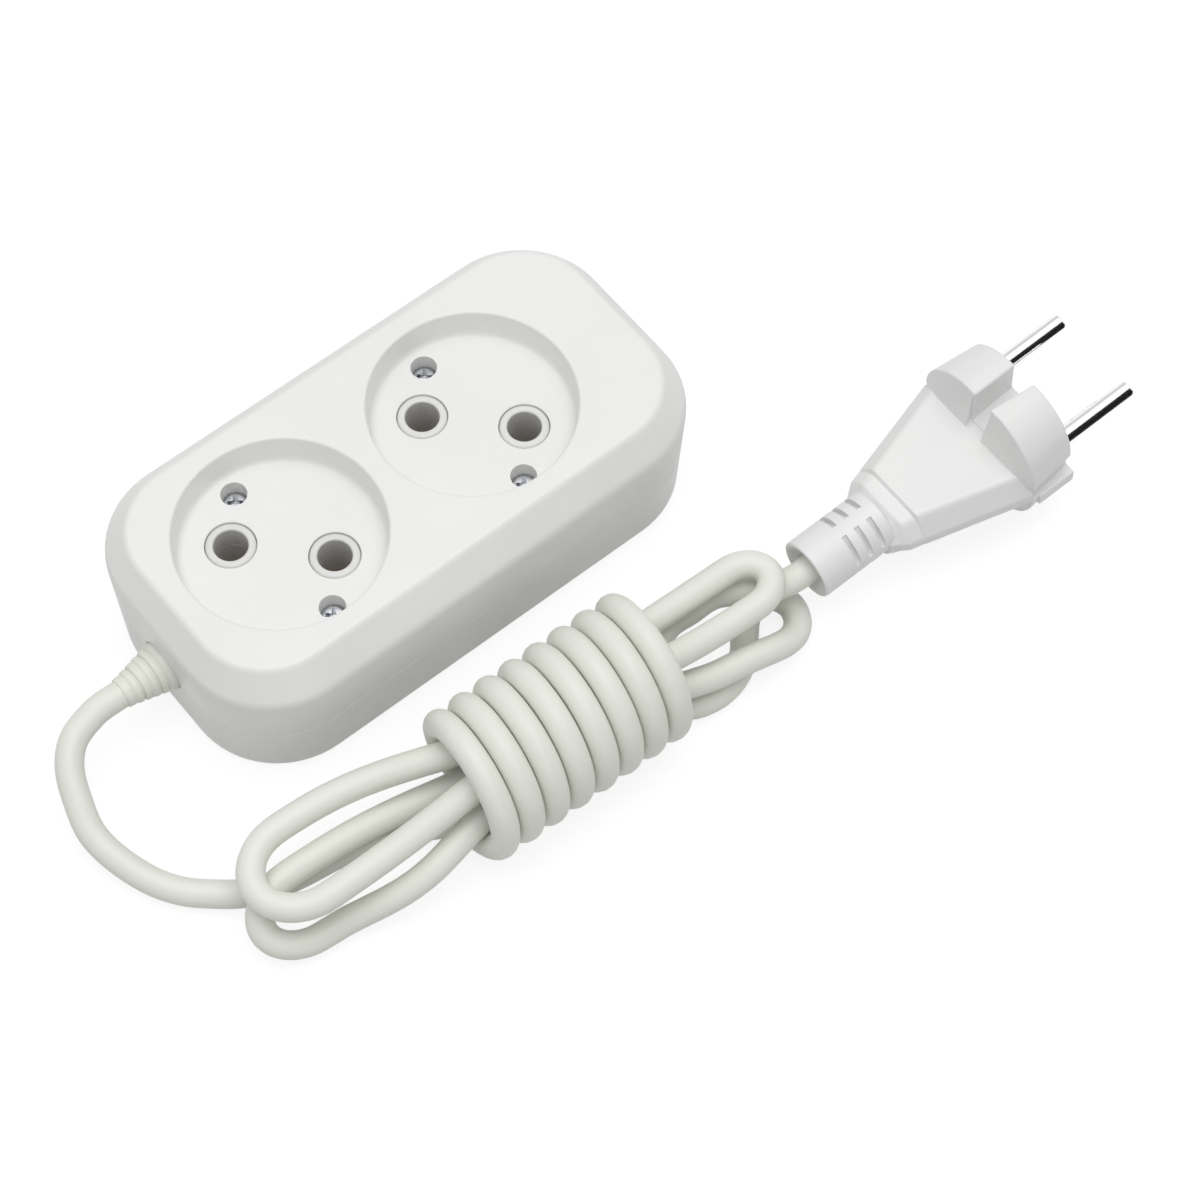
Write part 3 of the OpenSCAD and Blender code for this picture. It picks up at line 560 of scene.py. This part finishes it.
def outlineRing(bm, section, perCorner=16):
    atEnd, atSide, corner, z = section
    halfLength = bodySizes["length"] / 2 - atEnd - corner
    halfWidth = bodySizes["width"] / 2 - atSide - corner
    points = []
    for quarter, (alongSign, acrossSign) in enumerate(((1, 1), (-1, 1), (-1, -1), (1, -1))):
        for i in range(perCorner + 1):
            a = math.radians(90 * (quarter + i / perCorner))
            points.append((alongSign * halfLength + corner * math.cos(a),
                           acrossSign * halfWidth + corner * math.sin(a), z))
    return ring(bm, points)


def outlineRings(bm, sections):
    rings = [outlineRing(bm, s) for s in sections]
    for first, second in zip(rings, rings[1:]):
        skin(bm, first, second)
    return rings[0], rings[-1]


def contactPlaces(x):
    d = outletSizes["contactOffset"]
    return ((x - d, d), (x + d, -d))


def screwPlaces(x):
    return ((x, -outletSizes["screwOffset"]), (x, outletSizes["screwOffset"]))


def recessFloor():
    return bodySizes["height"] - outletSizes["recessDepth"]


def screwLedgeHeight():
    return recessFloor() - outletSizes["screwSink"] - outletSizes["screwHeadHeight"]


def makeCover():
    s, o = bodySizes, outletSizes
    bm = bmesh.new()
    seam = s["seam"] + s["seamGap"] / 2
    shoulder = s["height"] - s["bevelHeight"]
    ceiling = s["height"] - s["wall"]
    outside = softened(
        [sideAt(seam, s["seamChamfer"]), sideAt(seam + s["seamChamfer"]), sideAt(shoulder),
         sideAt(s["height"]), sideAt(s["height"], s["topEdge"])],
        [0, s["shoulderSoftness"], s["edgeSoftness"]])
    lowRing, topRing = outlineRings(bm, outside)
    lipSpace = s["wall"] - s["lipThickness"] - s["fitGap"]
    lipTop = s["seam"] + s["lipHeight"] + s["fitGap"]
    insideLow, insideTop = outlineRings(bm, [
        sideAt(seam, lipSpace), sideAt(lipTop, lipSpace), sideAt(lipTop, s["wall"]),
        sideAt(shoulder, s["wall"]), sideAt(ceiling, s["wall"])])
    skin(bm, lowRing, insideLow)
    rims, cups = [], []
    floor = recessFloor()
    underFloor = floor - o["cupWall"]
    soft = o["holeSoftness"]
    for x in o["places"]:
        floorRadius = o["recessRadius"] - o["recessDraft"]
        recess = softened(
            [(o["recessRadius"] + o["rimRun"], s["height"]), (o["recessRadius"], s["height"]),
             (floorRadius, floor), (floorRadius - o["cornerSoftness"] - o["floorRun"], floor)],
            [o["rimSoftness"], o["cornerSoftness"]])
        rim, floorRing = well(bm, x, 0, recess, roundSides["recess"])
        rims.append(rim)
        cupRadius = o["recessRadius"] + o["cupWall"]
        cupTop, cupFoot = well(bm, x, 0, [(cupRadius, ceiling), (cupRadius, underFloor)],
                               roundSides["cup"])
        cups.append(cupTop)
        aboveHoles, belowHoles = [], []
        for cx, cy in contactPlaces(x):
            top, foot = well(bm, cx, cy, softened(
                [(o["collarHole"] + soft, floor), (o["collarHole"], floor - soft),
                 (o["collarHole"], underFloor)], [o["holeCut"]], steps=2), roundSides["collar"])
            aboveHoles.append(top)
            belowHoles.append(foot)
        for cx, cy in screwPlaces(x):
            ledge = screwLedgeHeight()
            tubeFoot, mid = ledge - o["screwLedge"], soft * midShare
            top, foot = well(bm, cx, cy, [
                (o["screwHole"] + soft, floor), (o["screwHole"] + mid, floor - mid),
                (o["screwHole"], floor - soft), (o["screwHole"], ledge), (o["screwBore"], ledge),
                (o["screwBore"], tubeFoot), (o["screwTube"], tubeFoot),
                (o["screwTube"], underFloor)], roundSides["screw"])
            aboveHoles.append(top)
            belowHoles.append(foot)
        flatFill(bm, floorRing, *aboveHoles)
        flatFill(bm, cupFoot, *belowHoles)
    flatFill(bm, topRing, *rims)
    flatFill(bm, insideTop, *cups)
    return asObject(bm, "coverShell")


def makeBase():
    s, o = bodySizes, outletSizes
    bm = bmesh.new()
    seam = s["seam"] - s["seamGap"] / 2
    outside = softened(
        [sideAt(0, s["footBevel"] + s["footRun"]), sideAt(0, s["footBevel"]),
         sideAt(s["footBevel"]), sideAt(seam - s["seamChamfer"]),
         sideAt(seam, s["seamChamfer"])],
        [s["footSoftness"], s["footSoftness"], 0])
    footRing, rimRing = outlineRings(bm, outside)
    flatFill(bm, footRing)
    lipOut, lipTop = s["wall"] - s["lipThickness"], s["seam"] + s["lipHeight"]
    lipRing, floorRing = outlineRings(bm, [
        sideAt(seam, lipOut), sideAt(lipTop - s["lipChamfer"], lipOut),
        sideAt(lipTop, lipOut + s["lipChamfer"]), sideAt(lipTop, s["wall"]),
        sideAt(s["floor"] + s["floorFillet"], s["wall"]),
        sideAt(s["floor"], s["wall"] + s["floorFillet"])])
    skin(bm, rimRing, lipRing)
    tubeTop = screwLedgeHeight() - o["screwLedge"]
    posts = []
    for x in o["places"]:
        posts += [(*p, o["screwTube"], tubeTop, *basePosts["coverBore"]) for p in screwPlaces(x)]
        posts += [(*p, *basePosts["sleeve"]) for p in contactPlaces(x)]
    posts += [(basePosts["terminalAt"], side * o["contactOffset"], *basePosts["terminal"])
              for side in (-1, 1)]
    clampX, clampY = basePosts["clampAt"]
    posts += [(clampX, side * clampY, *basePosts["clamp"]) for side in (-1, 1)]
    edge = basePosts["chamfer"]
    feet = []
    for x, y, radius, top, bore, boreFoot in posts:
        foot, end = well(bm, x, y, [(radius, s["floor"]), (radius, top - edge),
                                    (radius - edge, top), (bore, top), (bore, boreFoot)],
                         roundSides["post"])
        feet.append(foot)
        flatFill(bm, end)
    flatFill(bm, floorRing, *feet)
    return asObject(bm, "baseShell")


# A round bar along X, used to cut the hole for the cord boot
def bootCutter():
    s, count = bodySizes, roundSides["bootHole"]
    radius = s["bootHole"]
    angles = [2 * math.pi * (i + 0.5) / count for i in range(count)]
    bm = bmesh.new()
    ends = [ring(bm, [(x, radius * math.cos(a), s["seam"] + radius * math.sin(a)) for a in angles])
            for x in s["bootHoleEnds"]]
    skin(bm, *ends)
    for end in ends:
        flatFill(bm, end)
    return asObject(bm, "bootCutter")


finishPiece(combined(makeCover(), bootCutter(), "DIFFERENCE"), shellPlastic,
            ["top_cover"])
finishPiece(combined(makeBase(), bootCutter(), "DIFFERENCE"), shellPlastic,
            ["bottom_base"])


# Socket inserts: the collars that show in the recess floors, with their plate and tubes

insertSizes = {
    "plateRadius": 5.8, "plateThickness": 3.3, "plateTop": 22.8, "collarRadius": 4.7,
    "entryRadius": 3.2, "tubeRadius": 4.4, "tubeBore": 3.18, "tubeFoot": 6.3,
    "collarSoftness": 0.8, "entrySoftness": 0.45, "plateChamfer": 0.3, "boreShadeStart": 0.6,
}


def plateRing(bm, x, radius, z, perEnd=24):
    points = []
    for (cx, cy), first in zip(contactPlaces(x), (45, 225)):
        for i in range(perEnd + 1):
            a = math.radians(first + 180 * i / perEnd)
            points.append((cx + radius * math.cos(a), cy + radius * math.sin(a), z))
    return ring(bm, points)


def makeInsert(x, name):
    n = insertSizes
    bm = bmesh.new()
    plateFoot, edge = n["plateTop"] - n["plateThickness"], n["plateChamfer"]
    rings = [plateRing(bm, x, n["plateRadius"] - edge, plateFoot),
             plateRing(bm, x, n["plateRadius"], plateFoot + edge),
             plateRing(bm, x, n["plateRadius"], n["plateTop"] - edge),
             plateRing(bm, x, n["plateRadius"] - edge, n["plateTop"])]
    for first, second in zip(rings, rings[1:]):
        skin(bm, first, second)
    collarFeet, tubeTops = [], []
    for cx, cy in contactPlaces(x):
        top = recessFloor()
        collar = softened(
            [(n["collarRadius"], n["plateTop"]), (n["collarRadius"], top), (n["entryRadius"], top),
             (n["entryRadius"], plateFoot), (n["tubeBore"], plateFoot)],
            [n["collarSoftness"], n["entrySoftness"], 0], steps=5)
        tube = [(n["tubeBore"], n["tubeFoot"]), (n["tubeRadius"], n["tubeFoot"]),
                (n["tubeRadius"], plateFoot)]
        first, last = well(bm, cx, cy, collar + [Vector(p) for p in tube], roundSides["collar"])
        collarFeet.append(first)
        tubeTops.append(last)
    flatFill(bm, rings[-1], *collarFeet)
    flatFill(bm, rings[0], *tubeTops)
    return asObject(bm, name)


# Paints shade into the bores: their deep walls get a darker grey plastic, standing in for the
# shade that falls inside them
def paintBoreShade(insert, x):
    insert.data.materials.append(boreShadePlastic)
    for face in insert.data.polygons:
        middle = face.center / metre
        away = min(math.hypot(middle.x - cx, middle.y - cy) for cx, cy in contactPlaces(x))
        deep = middle.z < recessFloor() - insertSizes["boreShadeStart"]
        if deep and away < insertSizes["entryRadius"]:
            face.material_index = 1


for number, x in enumerate(outletSizes["places"], 1):
    insert = finishPiece(makeInsert(x, f"socketInsert{number}"), insertPlastic,
                         [f"contact_carrier_{number}"])
    paintBoreShade(insert, x)


# Cover screws with a cross recess

screwSizes = {
    "headRadius": 2.25, "shankRadius": 1.45, "foot": 6,
    "tipRadius": 0.6, "tipLength": 0.8, "domeEdge": 1.68, "domeSoftness": 0.54,
    "crossReach": 1.5, "crossHalf": 0.42, "crossDepth": 1.0,
    "crossShares": ((0, 1, 1), (0.6, 0.8, 0.8), (1, 0.5, 0.7)),    # of its depth, reach and half
    "turns": (47, 54, 52, 46),
}


def crossRing(bm, x, y, z, reach, half, turn):
    corners = [(half, half), (half, reach), (-half, reach), (-half, half), (-reach, half),
               (-reach, -half), (-half, -half), (-half, -reach), (half, -reach), (half, -half),
               (reach, -half), (reach, half)]
    c, s = math.cos(turn), math.sin(turn)
    return ring(bm, [(x + a * c - b * s, y + a * s + b * c, z) for a, b in corners])


def makeScrews():
    n = screwSizes
    bm = bmesh.new()
    ledge = screwLedgeHeight()
    top = ledge + outletSizes["screwHeadHeight"]
    turns = iter(n["turns"])
    for x in outletSizes["places"]:
        for cx, cy in screwPlaces(x):
            outside = softened(
                [(n["tipRadius"], n["foot"]), (n["shankRadius"], n["foot"] + n["tipLength"]),
                 (n["shankRadius"], ledge), (n["headRadius"], ledge), (n["headRadius"], top),
                 (n["domeEdge"], top)],
                [0, 0, 0, n["domeSoftness"]], steps=5)
            foot, rim = well(bm, cx, cy, outside, roundSides["screw"])
            flatFill(bm, foot)
            turn = math.radians(next(turns))
            rings = [crossRing(bm, cx, cy, top - n["crossDepth"] * deep, n["crossReach"] * reach,
                               n["crossHalf"] * half, turn)
                     for deep, reach, half in n["crossShares"]]
            for first, second in zip(rings, rings[1:]):
                skin(bm, first, second)
            flatFill(bm, rings[-1])
            flatFill(bm, rim, rings[0])
    return asObject(bm, "coverScrews")


finishPiece(makeScrews(), screwZinc, ["cover_screws"])


# Ribbed boot where the cord leaves the body

bootSizes = {
    "wallAt": -54.223, "length": 9.4, "radius": 4.95, "endRadius": 3.08, "bore": 2.66,
    "neck": 2.45, "flangeRadius": 6.55, "flangeThickness": 1.2,
    "rings": 6, "grooveWidth": 0.5, "grooveDepths": (0.4, 0.6, 0.28, 0.6, 0.28),
    "grooveFloor": 0.5, "ringTaper": 0.45, "flangeSoftness": 0.2, "grooveSoftness": 0.08,
    "ringSoftness": (0.18, 0.26), "mouthStep": 0.1, "mouthRun": 0.3,
}


# A closed profile of (distance along, radius) spun round the X axis
def spun(bm, profile, count):
    rings = [ring(bm, [(p[0], p[1] * math.cos(a), p[1] * math.sin(a))
                       for a in (2 * math.pi * i / count for i in range(count))]) for p in profile]
    for first, second in zip(rings, rings[1:] + rings[:1]):
        skin(bm, first, second)


def makeBodyBoot():
    n = bootSizes
    pitch, half = n["length"] / n["rings"], n["grooveWidth"] / 2
    bedHalf = half * n["grooveFloor"]
    flangeEnd, flange = n["neck"] + n["flangeThickness"], n["flangeRadius"]
    corners = [(flangeEnd, n["bore"]), (flangeEnd, flange), (n["neck"], flange),
               (n["neck"], n["radius"])]
    cuts = [0.0, n["flangeSoftness"], 0.0]
    fall = (n["radius"] - n["endRadius"]) / (n["rings"] - 1)
    drop = fall * n["ringTaper"]
    startCut, endCut = n["ringSoftness"]
    for i in range(n["rings"]):
        radius = n["radius"] - fall * i
        start, end = -i * pitch, -(i + 1) * pitch
        first, last = i == 0, i == n["rings"] - 1
        corners += [(start if first else start - half, radius),
                    (end if last else end + half, radius - drop)]
        cuts += [0.0 if first else startCut, endCut]
        if not last:
            bed = radius - drop - n["grooveDepths"][i]
            corners += [(end + bedHalf, bed), (end - bedHalf, bed)]
            cuts += [n["grooveSoftness"]] * 2
    corners += [(-n["length"], n["bore"] + n["mouthStep"]),
                (-n["length"] + n["mouthRun"], n["bore"])]
    cuts += [0.0]
    bm = bmesh.new()
    spun(bm, softened(corners, cuts, steps=4), roundSides["bodyBoot"])
    return asObject(bm, "bodyBoot")


finishPiece(makeBodyBoot(), sheathPvc, ["cord_boot"], sharpAngle=50,
            place=Matrix.Translation((bootSizes["wallAt"], 0, bodySizes["seam"])))


# Plug: a round face that gets smaller to the front, with grooves and guides, and a tapered grip

plugSizes = {
    "thickness": 10.4, "softness": 0.45, "backDepth": 1.7,
    "inner": ((2.05, 4.4), (2.05, 4.9), (4.5, 4.9), (8.0, 4.9), (11.0, 4.7), (12.0, 3.6),
              (12.1, 2.0), (11.3, 2.0)),
    "innerCuts": (0.1, 0.1, 0.2, 0.3, 0.4, 0.4, 0.3, 0.1),
    "back": ((2.05, 5.6), (2.05, 15.0), (5.6, 15.0), (9.5, 13.3), (13.0, 9.9), (14.9, 5.8),
             (15.4, 2.05), (14.5, 2.05)),
    "front": ((2.55, 5.7), (2.55, 13.8), (5.3, 13.7), (9.2, 12.2), (12.4, 9.1), (13.9, 5.4),
              (14.2, 2.05), (13.3, 2.05)),
    "cuts": (0.35, 0.7, 1.3, 2.0, 2.0, 1.5, 0.5, 0.3),
    "rib": (-8.5, 0.0), "ribCorners": ((12.0, -5.2), (15.5, -5.2), (15.5, -2.1), (12.0, -2.1)),
    "ribMiddle": -3.65, "ribSoftness": 0.25, "gripCuts": (0.2, 0.2, 0.4, 0.5), "bandSoftness": 0.5,
}

# Along, half width of the top, top, half width of the band, its top and foot, half width of the
# foot, foot, corner softness
gripSections = [
    (-10.3, 12.45, 5.0, 15.45, 0.5, 1.8, 12.45, 6.3, 0.9),
    (-31.2, 6.3, 5.0, 9.5, 0.5, 1.8, 6.3, 6.3, 0.9),
    (-31.6, 6.0, 4.2, 9.3, 0.5, 1.8, 6.0, 6.1, 1.3),
    (-34.3, 5.5, 4.2, 8.6, 0.5, 1.8, 5.7, 6.1, 1.3),
    (-36.2, 4.2, 2.3, 7.2, 0.5, 1.8, 5.4, 5.9, 1.3),
    (-37.3, 2.9, 1.0, 6.3, 0.2, 1.8, 5.0, 5.4, 1.2),
]


# The face's outline, from its corners in one quarter
def faceOutline(quarter, cuts):
    corners, soft = [], []
    for acrossSign, upSign in ((1, 1), (1, -1), (-1, -1), (-1, 1)):
        pairs = list(zip(quarter, cuts))
        for (across, up), cut in pairs if acrossSign * upSign > 0 else pairs[::-1]:
            corners.append((acrossSign * across, upSign * up))
            soft.append(cut)
    return softenedLoop(corners, soft)


# The outline drawn inwards by a small step, each point along its own normal
def drawnIn(outline, step):
    points = []
    for i, point in enumerate(outline):
        before, after = outline[i - 1], outline[(i + 1) % len(outline)]
        along = (after - before).normalized()
        points.append(point + Vector((along.y, -along.x)) * step)
    return points


# Outlines one behind the other, skinned and closed at both ends
def stacked(outlines, name):
    bm = bmesh.new()
    rings = [ring(bm, outline) for outline in outlines]
    for first, second in zip(rings, rings[1:]):
        skin(bm, first, second)
    flatFill(bm, rings[0])
    flatFill(bm, rings[-1])
    return asObject(bm, name)


def makePlugFace():
    n = plugSizes
    inner = faceOutline(n["inner"], n["innerCuts"])
    back = faceOutline(n["back"], n["cuts"])
    front = faceOutline(n["front"], n["cuts"])
    soft = n["softness"]
    steps = [(soft * (1 - math.cos(math.radians(a))), soft * (1 - math.sin(math.radians(a))))
             for a in (90, 60, 30, 0)]
    sections = [(-n["thickness"] - n["backDepth"], inner)]
    sections += [(-n["thickness"] + behind, drawnIn(back, step)) for step, behind in steps]
    sections += [(-behind, drawnIn(front, step)) for step, behind in steps[::-1]]
    return stacked([[(x, p.x, p.y) for p in outline] for x, outline in sections], "plugBody")


def makeRib(side):
    n = plugSizes
    soft, (rear, front) = n["ribSoftness"], n["rib"]
    mid = soft * midShare
    outlines = []
    for x, step in ((rear, soft), (rear + mid, mid), (rear + soft, 0), (front - soft, 0),
                    (front - mid, mid), (front, soft)):
        corners = [(y - step, z + math.copysign(step, n["ribMiddle"] - z))
                   for y, z in n["ribCorners"]]
        outlines.append([(x, side * p.x, p.y) for p in softenedLoop(corners, [soft] * 4)])
    return stacked(outlines, "guideRib")


def makeGrip():
    band = plugSizes["bandSoftness"]
    outlines = []
    for section in softened(gripSections, plugSizes["gripCuts"], steps=4):
        x, top, up, wide, bandUp, bandDown, foot, down, soft = section
        right = [(top, up), (wide, bandUp), (wide, -bandDown), (foot, -down)]
        corners = right + [(-y, z) for y, z in right[::-1]]
        cuts = [soft, band, band, soft] * 2
        outlines.append([(x, p.x, p.y) for p in softenedLoop(corners, cuts)])
    return stacked(outlines, "grip")


plugBody = combined(makePlugFace(), makeGrip(), "UNION")
for side in (-1, 1):
    plugBody = combined(plugBody, makeRib(side), "UNION")
finishPiece(plugBody, plugPvc, ["plug_body"], place=plugPlace)


# Plug boot: a round sleeve with three rings of flex slots and a dished end

plugBootSizes = {
    "start": -36.3, "end": -52.5, "radius": 6.1, "bore": 2.7, "dish": 2.4, "rim": 0.75,
    "tuck": 1, "tuckDrop": 1.5, "frontRun": 0.2, "endSoftness": 0.45, "rimSoftness": 0.25,
    "slotWidth": 1.1, "slotDepth": 1.3, "slotHalf": 3.3, "slotPitch": 2.95, "slotFirst": 2.4,
    "slotRings": 3, "slotsRound": 4, "cutterHeight": 3,
}


def makePlugBoot():
    n = plugBootSizes
    tucked, tall = n["start"] + n["tuck"], n["cutterHeight"]
    bm = bmesh.new()
    spun(bm, softened(
        [(tucked, n["bore"]), (tucked, n["radius"] - n["tuckDrop"]),
         (n["start"] + n["frontRun"], n["radius"]), (n["end"], n["radius"]),
         (n["end"], n["radius"] - n["rim"]), (n["end"] + n["dish"], n["bore"])],
        [0, 0, n["endSoftness"], n["rimSoftness"]], steps=5), roundSides["plugBoot"])
    boot = asObject(bm, "plugBoot")
    for i in range(n["slotRings"]):
        for k in range(n["slotsRound"]):
            cutter = bmesh.new()
            bmesh.ops.create_cube(cutter, size=1)
            x = n["start"] - n["slotFirst"] - n["slotPitch"] * i
            turn = math.radians(360 * (k + 0.5) / n["slotsRound"])
            cutter.transform(Matrix.Rotation(turn, 4, "X")
                             @ Matrix.Translation((x, 0, n["radius"] - n["slotDepth"] + tall / 2))
                             @ Matrix.Diagonal((n["slotWidth"], 2 * n["slotHalf"], tall, 1)))
            boot = combined(boot, asObject(cutter, "slotCutter"), "DIFFERENCE")
    return boot


finishPiece(makePlugBoot(), plugBootPvc, ["plug_boot"], sharpAngle=40,
            place=plugPlace)


# Plug pins

pinSizes = {
    "radius": 2.0, "length": 19, "spacing": 19, "root": -7, "rootRadius": 1.6, "rootTip": 0.4,
    "shoulder": -0.4, "tipSoftness": 0.85, "tipRun": 0.25, "tipRadius": 0.7, "tipFlat": 0.25,
    "endSoftness": 0.3,
}


def makePin(side, name):
    n, count = pinSizes, roundSides["pin"]
    profile = softened(
        [(n["root"], n["rootTip"]), (n["root"], n["rootRadius"]),
         (n["shoulder"], n["rootRadius"]), (n["shoulder"], n["radius"]),
         (n["length"] - n["tipRun"], n["radius"]), (n["length"], n["tipRadius"]),
         (n["length"], n["tipFlat"])],
        [n["endSoftness"], 0, 0, n["tipSoftness"], n["endSoftness"]])
    return stacked([[(p[0], side * n["spacing"] / 2 + p[1] * math.cos(a), p[1] * math.sin(a))
                     for a in (2 * math.pi * i / count for i in range(count))]
                    for p in profile], name)


livePin = finishPiece(makePin(1, "plugPinLive"), pinPlating, ["plug_pin_live"],
                      sharpAngle=40, place=plugPlace)
neutralPin = finishPiece(makePin(-1, "plugPinNeutral"), pinPlating,
                         ["plug_pin_neutral"], sharpAngle=40, place=plugPlace)


# Inner parts keep their CAD shapes and get their own finishes

innerFinishes = {
    "busbar_live": contactBrass, "busbar_neutral": contactBrass,
    "contact_sleeve_live_1": contactBrass, "contact_sleeve_live_2": contactBrass,
    "contact_sleeve_neutral_1": contactBrass, "contact_sleeve_neutral_2": contactBrass,
    "terminal_screws": screwZinc, "wire_lugs": screwZinc, "clamp_screws": screwZinc,
    "cord_clamp": insertPlastic, "cord_inlet": sheathPvc, "plug_cord_end": sheathPvc,
    "wire_live": brownWire, "wire_neutral": blueWire,
    "plug_bridge": insertPlastic, "plug_crimps": contactBrass,
    "plug_wire_live": brownWire, "plug_wire_neutral": blueWire,
}

for nodeName, material in innerFinishes.items():
    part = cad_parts[nodeName]
    part.data.materials.clear()
    part.data.materials.append(material)
print("inner parts finished")

onPlug = [plugBody, bpy.data.objects["plugBoot"], livePin, neutralPin]
onPlug += [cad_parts[n] for n in ("plug_bridge", "plug_crimps", "plug_wire_live",
                                       "plug_wire_neutral", "plug_cord_end")]


# Stage, in metres: pale floor, even sky, one broad lamp, and two cards that only reflections see

stageSetup = {
    "floorSize": 2.0, "floorHeight": -0.0002, "floorBounce": screenColour(190, 190, 189),
    "floorGlow": 1.1, "floorPaper": (0.95, 0.95, 0.95, 1), "shadowShare": 0.25,
    "skyStrength": 0.55, "lampPower": 8.6, "lampSize": 1.1, "lampPlace": (0.05, -0.05, 1.3),
    "cardColour": (0.004, 0.004, 0.004, 1),
    "darkCard": {"x": (0.03, 0.62),
                 "rows": ((-0.11, 0.0004), (-0.42, 0.0004), (-0.44, 0.02), (-0.44, 0.66))},
    "greyCard": {"x": (0.2, 0.62), "rows": ((0.25, 0.187), (0.25, 0.572)), "glow": 0.66},
}


def seenOrReflected(nodes, links):
    path = nodes.new("ShaderNodeLightPath")
    first = nodes.new("ShaderNodeMath")
    first.operation = "MAXIMUM"
    links.new(path.outputs["Is Camera Ray"], first.inputs[0])
    links.new(path.outputs["Is Glossy Ray"], first.inputs[1])
    second = nodes.new("ShaderNodeMath")
    second.operation = "MAXIMUM"
    links.new(first.outputs[0], second.inputs[0])
    links.new(path.outputs["Is Transmission Ray"], second.inputs[1])
    return second.outputs[0]


# Seen or reflected, the floor glows white and keeps part of its shadow; to other light it is grey
def makeFloor(setup):
    mesh = bpy.data.meshes.new("floor")
    half, z = setup["floorSize"] / 2, setup["floorHeight"]
    mesh.from_pydata([(-half, -half, z), (half, -half, z), (half, half, z), (-half, half, z)],
                     [], [(0, 1, 2, 3)])
    floor = bpy.data.objects.new("floor", mesh)
    bpy.context.scene.collection.objects.link(floor)
    material, nodes, links, shader = newMaterial("floorPaper")
    nodes.remove(shader)
    seen, shadowed, bounce = (nodes.new("ShaderNodeEmission"), nodes.new("ShaderNodeBsdfDiffuse"),
                              nodes.new("ShaderNodeBsdfDiffuse"))
    seen.inputs["Color"].default_value = (1, 1, 1, 1)
    seen.inputs["Strength"].default_value = setup["floorGlow"]
    shadowed.inputs["Color"].default_value = setup["floorPaper"]
    bounce.inputs["Color"].default_value = setup["floorBounce"]
    shown, choice = nodes.new("ShaderNodeMixShader"), nodes.new("ShaderNodeMixShader")
    shown.inputs[0].default_value = setup["shadowShare"]
    links.new(seen.outputs[0], shown.inputs[1])
    links.new(shadowed.outputs[0], shown.inputs[2])
    links.new(seenOrReflected(nodes, links), choice.inputs[0])
    links.new(bounce.outputs[0], choice.inputs[1])
    links.new(shown.outputs[0], choice.inputs[2])
    links.new(choice.outputs[0], nodes["Material Output"].inputs["Surface"])
    mesh.materials.append(material)


# A card beside the pins that only reflections see, as used to draw a line along chrome
def makeCard(name, setup):
    card = setup[name]
    points = [(x, y, z) for y, z in card["rows"] for x in card["x"]]
    mesh = bpy.data.meshes.new(name)
    mesh.from_pydata(points, [], [(2 * i, 2 * i + 1, 2 * i + 3, 2 * i + 2)
                                  for i in range(len(card["rows"]) - 1)])
    piece = bpy.data.objects.new(name, mesh)
    bpy.context.scene.collection.objects.link(piece)
    material, nodes, links, shader = newMaterial(name)
    shader.inputs["Base Color"].default_value = setup["cardColour"]
    shader.inputs["Roughness"].default_value = 1.0
    shader.inputs["Emission Color"].default_value = (1, 1, 1, 1)
    shader.inputs["Emission Strength"].default_value = card.get("glow", 0.0)
    mesh.materials.append(material)
    piece.visible_camera = piece.visible_diffuse = piece.visible_shadow = False


def makeLight(setup):
    world = bpy.data.worlds.new("sky")
    bpy.context.scene.world = world
    world.use_nodes = True
    nodes, links = world.node_tree.nodes, world.node_tree.links
    sky, white = nodes["Background"], nodes.new("ShaderNodeBackground")
    sky.inputs["Color"].default_value = (1, 1, 1, 1)
    sky.inputs["Strength"].default_value = setup["skyStrength"]
    white.inputs["Color"].default_value = (1, 1, 1, 1)
    white.inputs["Strength"].default_value = 1.0
    choice = nodes.new("ShaderNodeMixShader")
    links.new(seenOrReflected(nodes, links), choice.inputs[0])
    links.new(sky.outputs[0], choice.inputs[1])
    links.new(white.outputs[0], choice.inputs[2])
    links.new(choice.outputs[0], nodes["World Output"].inputs["Surface"])
    data = bpy.data.lights.new("broadLamp", "AREA")
    data.shape, data.size, data.energy = "SQUARE", setup["lampSize"], setup["lampPower"]
    lamp = bpy.data.objects.new("broadLamp", data)
    lamp.location = setup["lampPlace"]
    lamp.rotation_mode = "QUATERNION"
    lamp.rotation_quaternion = (-Vector(setup["lampPlace"])).to_track_quat("-Z", "Y")
    bpy.context.scene.collection.objects.link(lamp)


makeFloor(stageSetup)
makeCard("darkCard", stageSetup)
makeCard("greyCard", stageSetup)
makeLight(stageSetup)
bpy.context.scene.view_settings.view_transform = "Standard"
print("stage and light set")
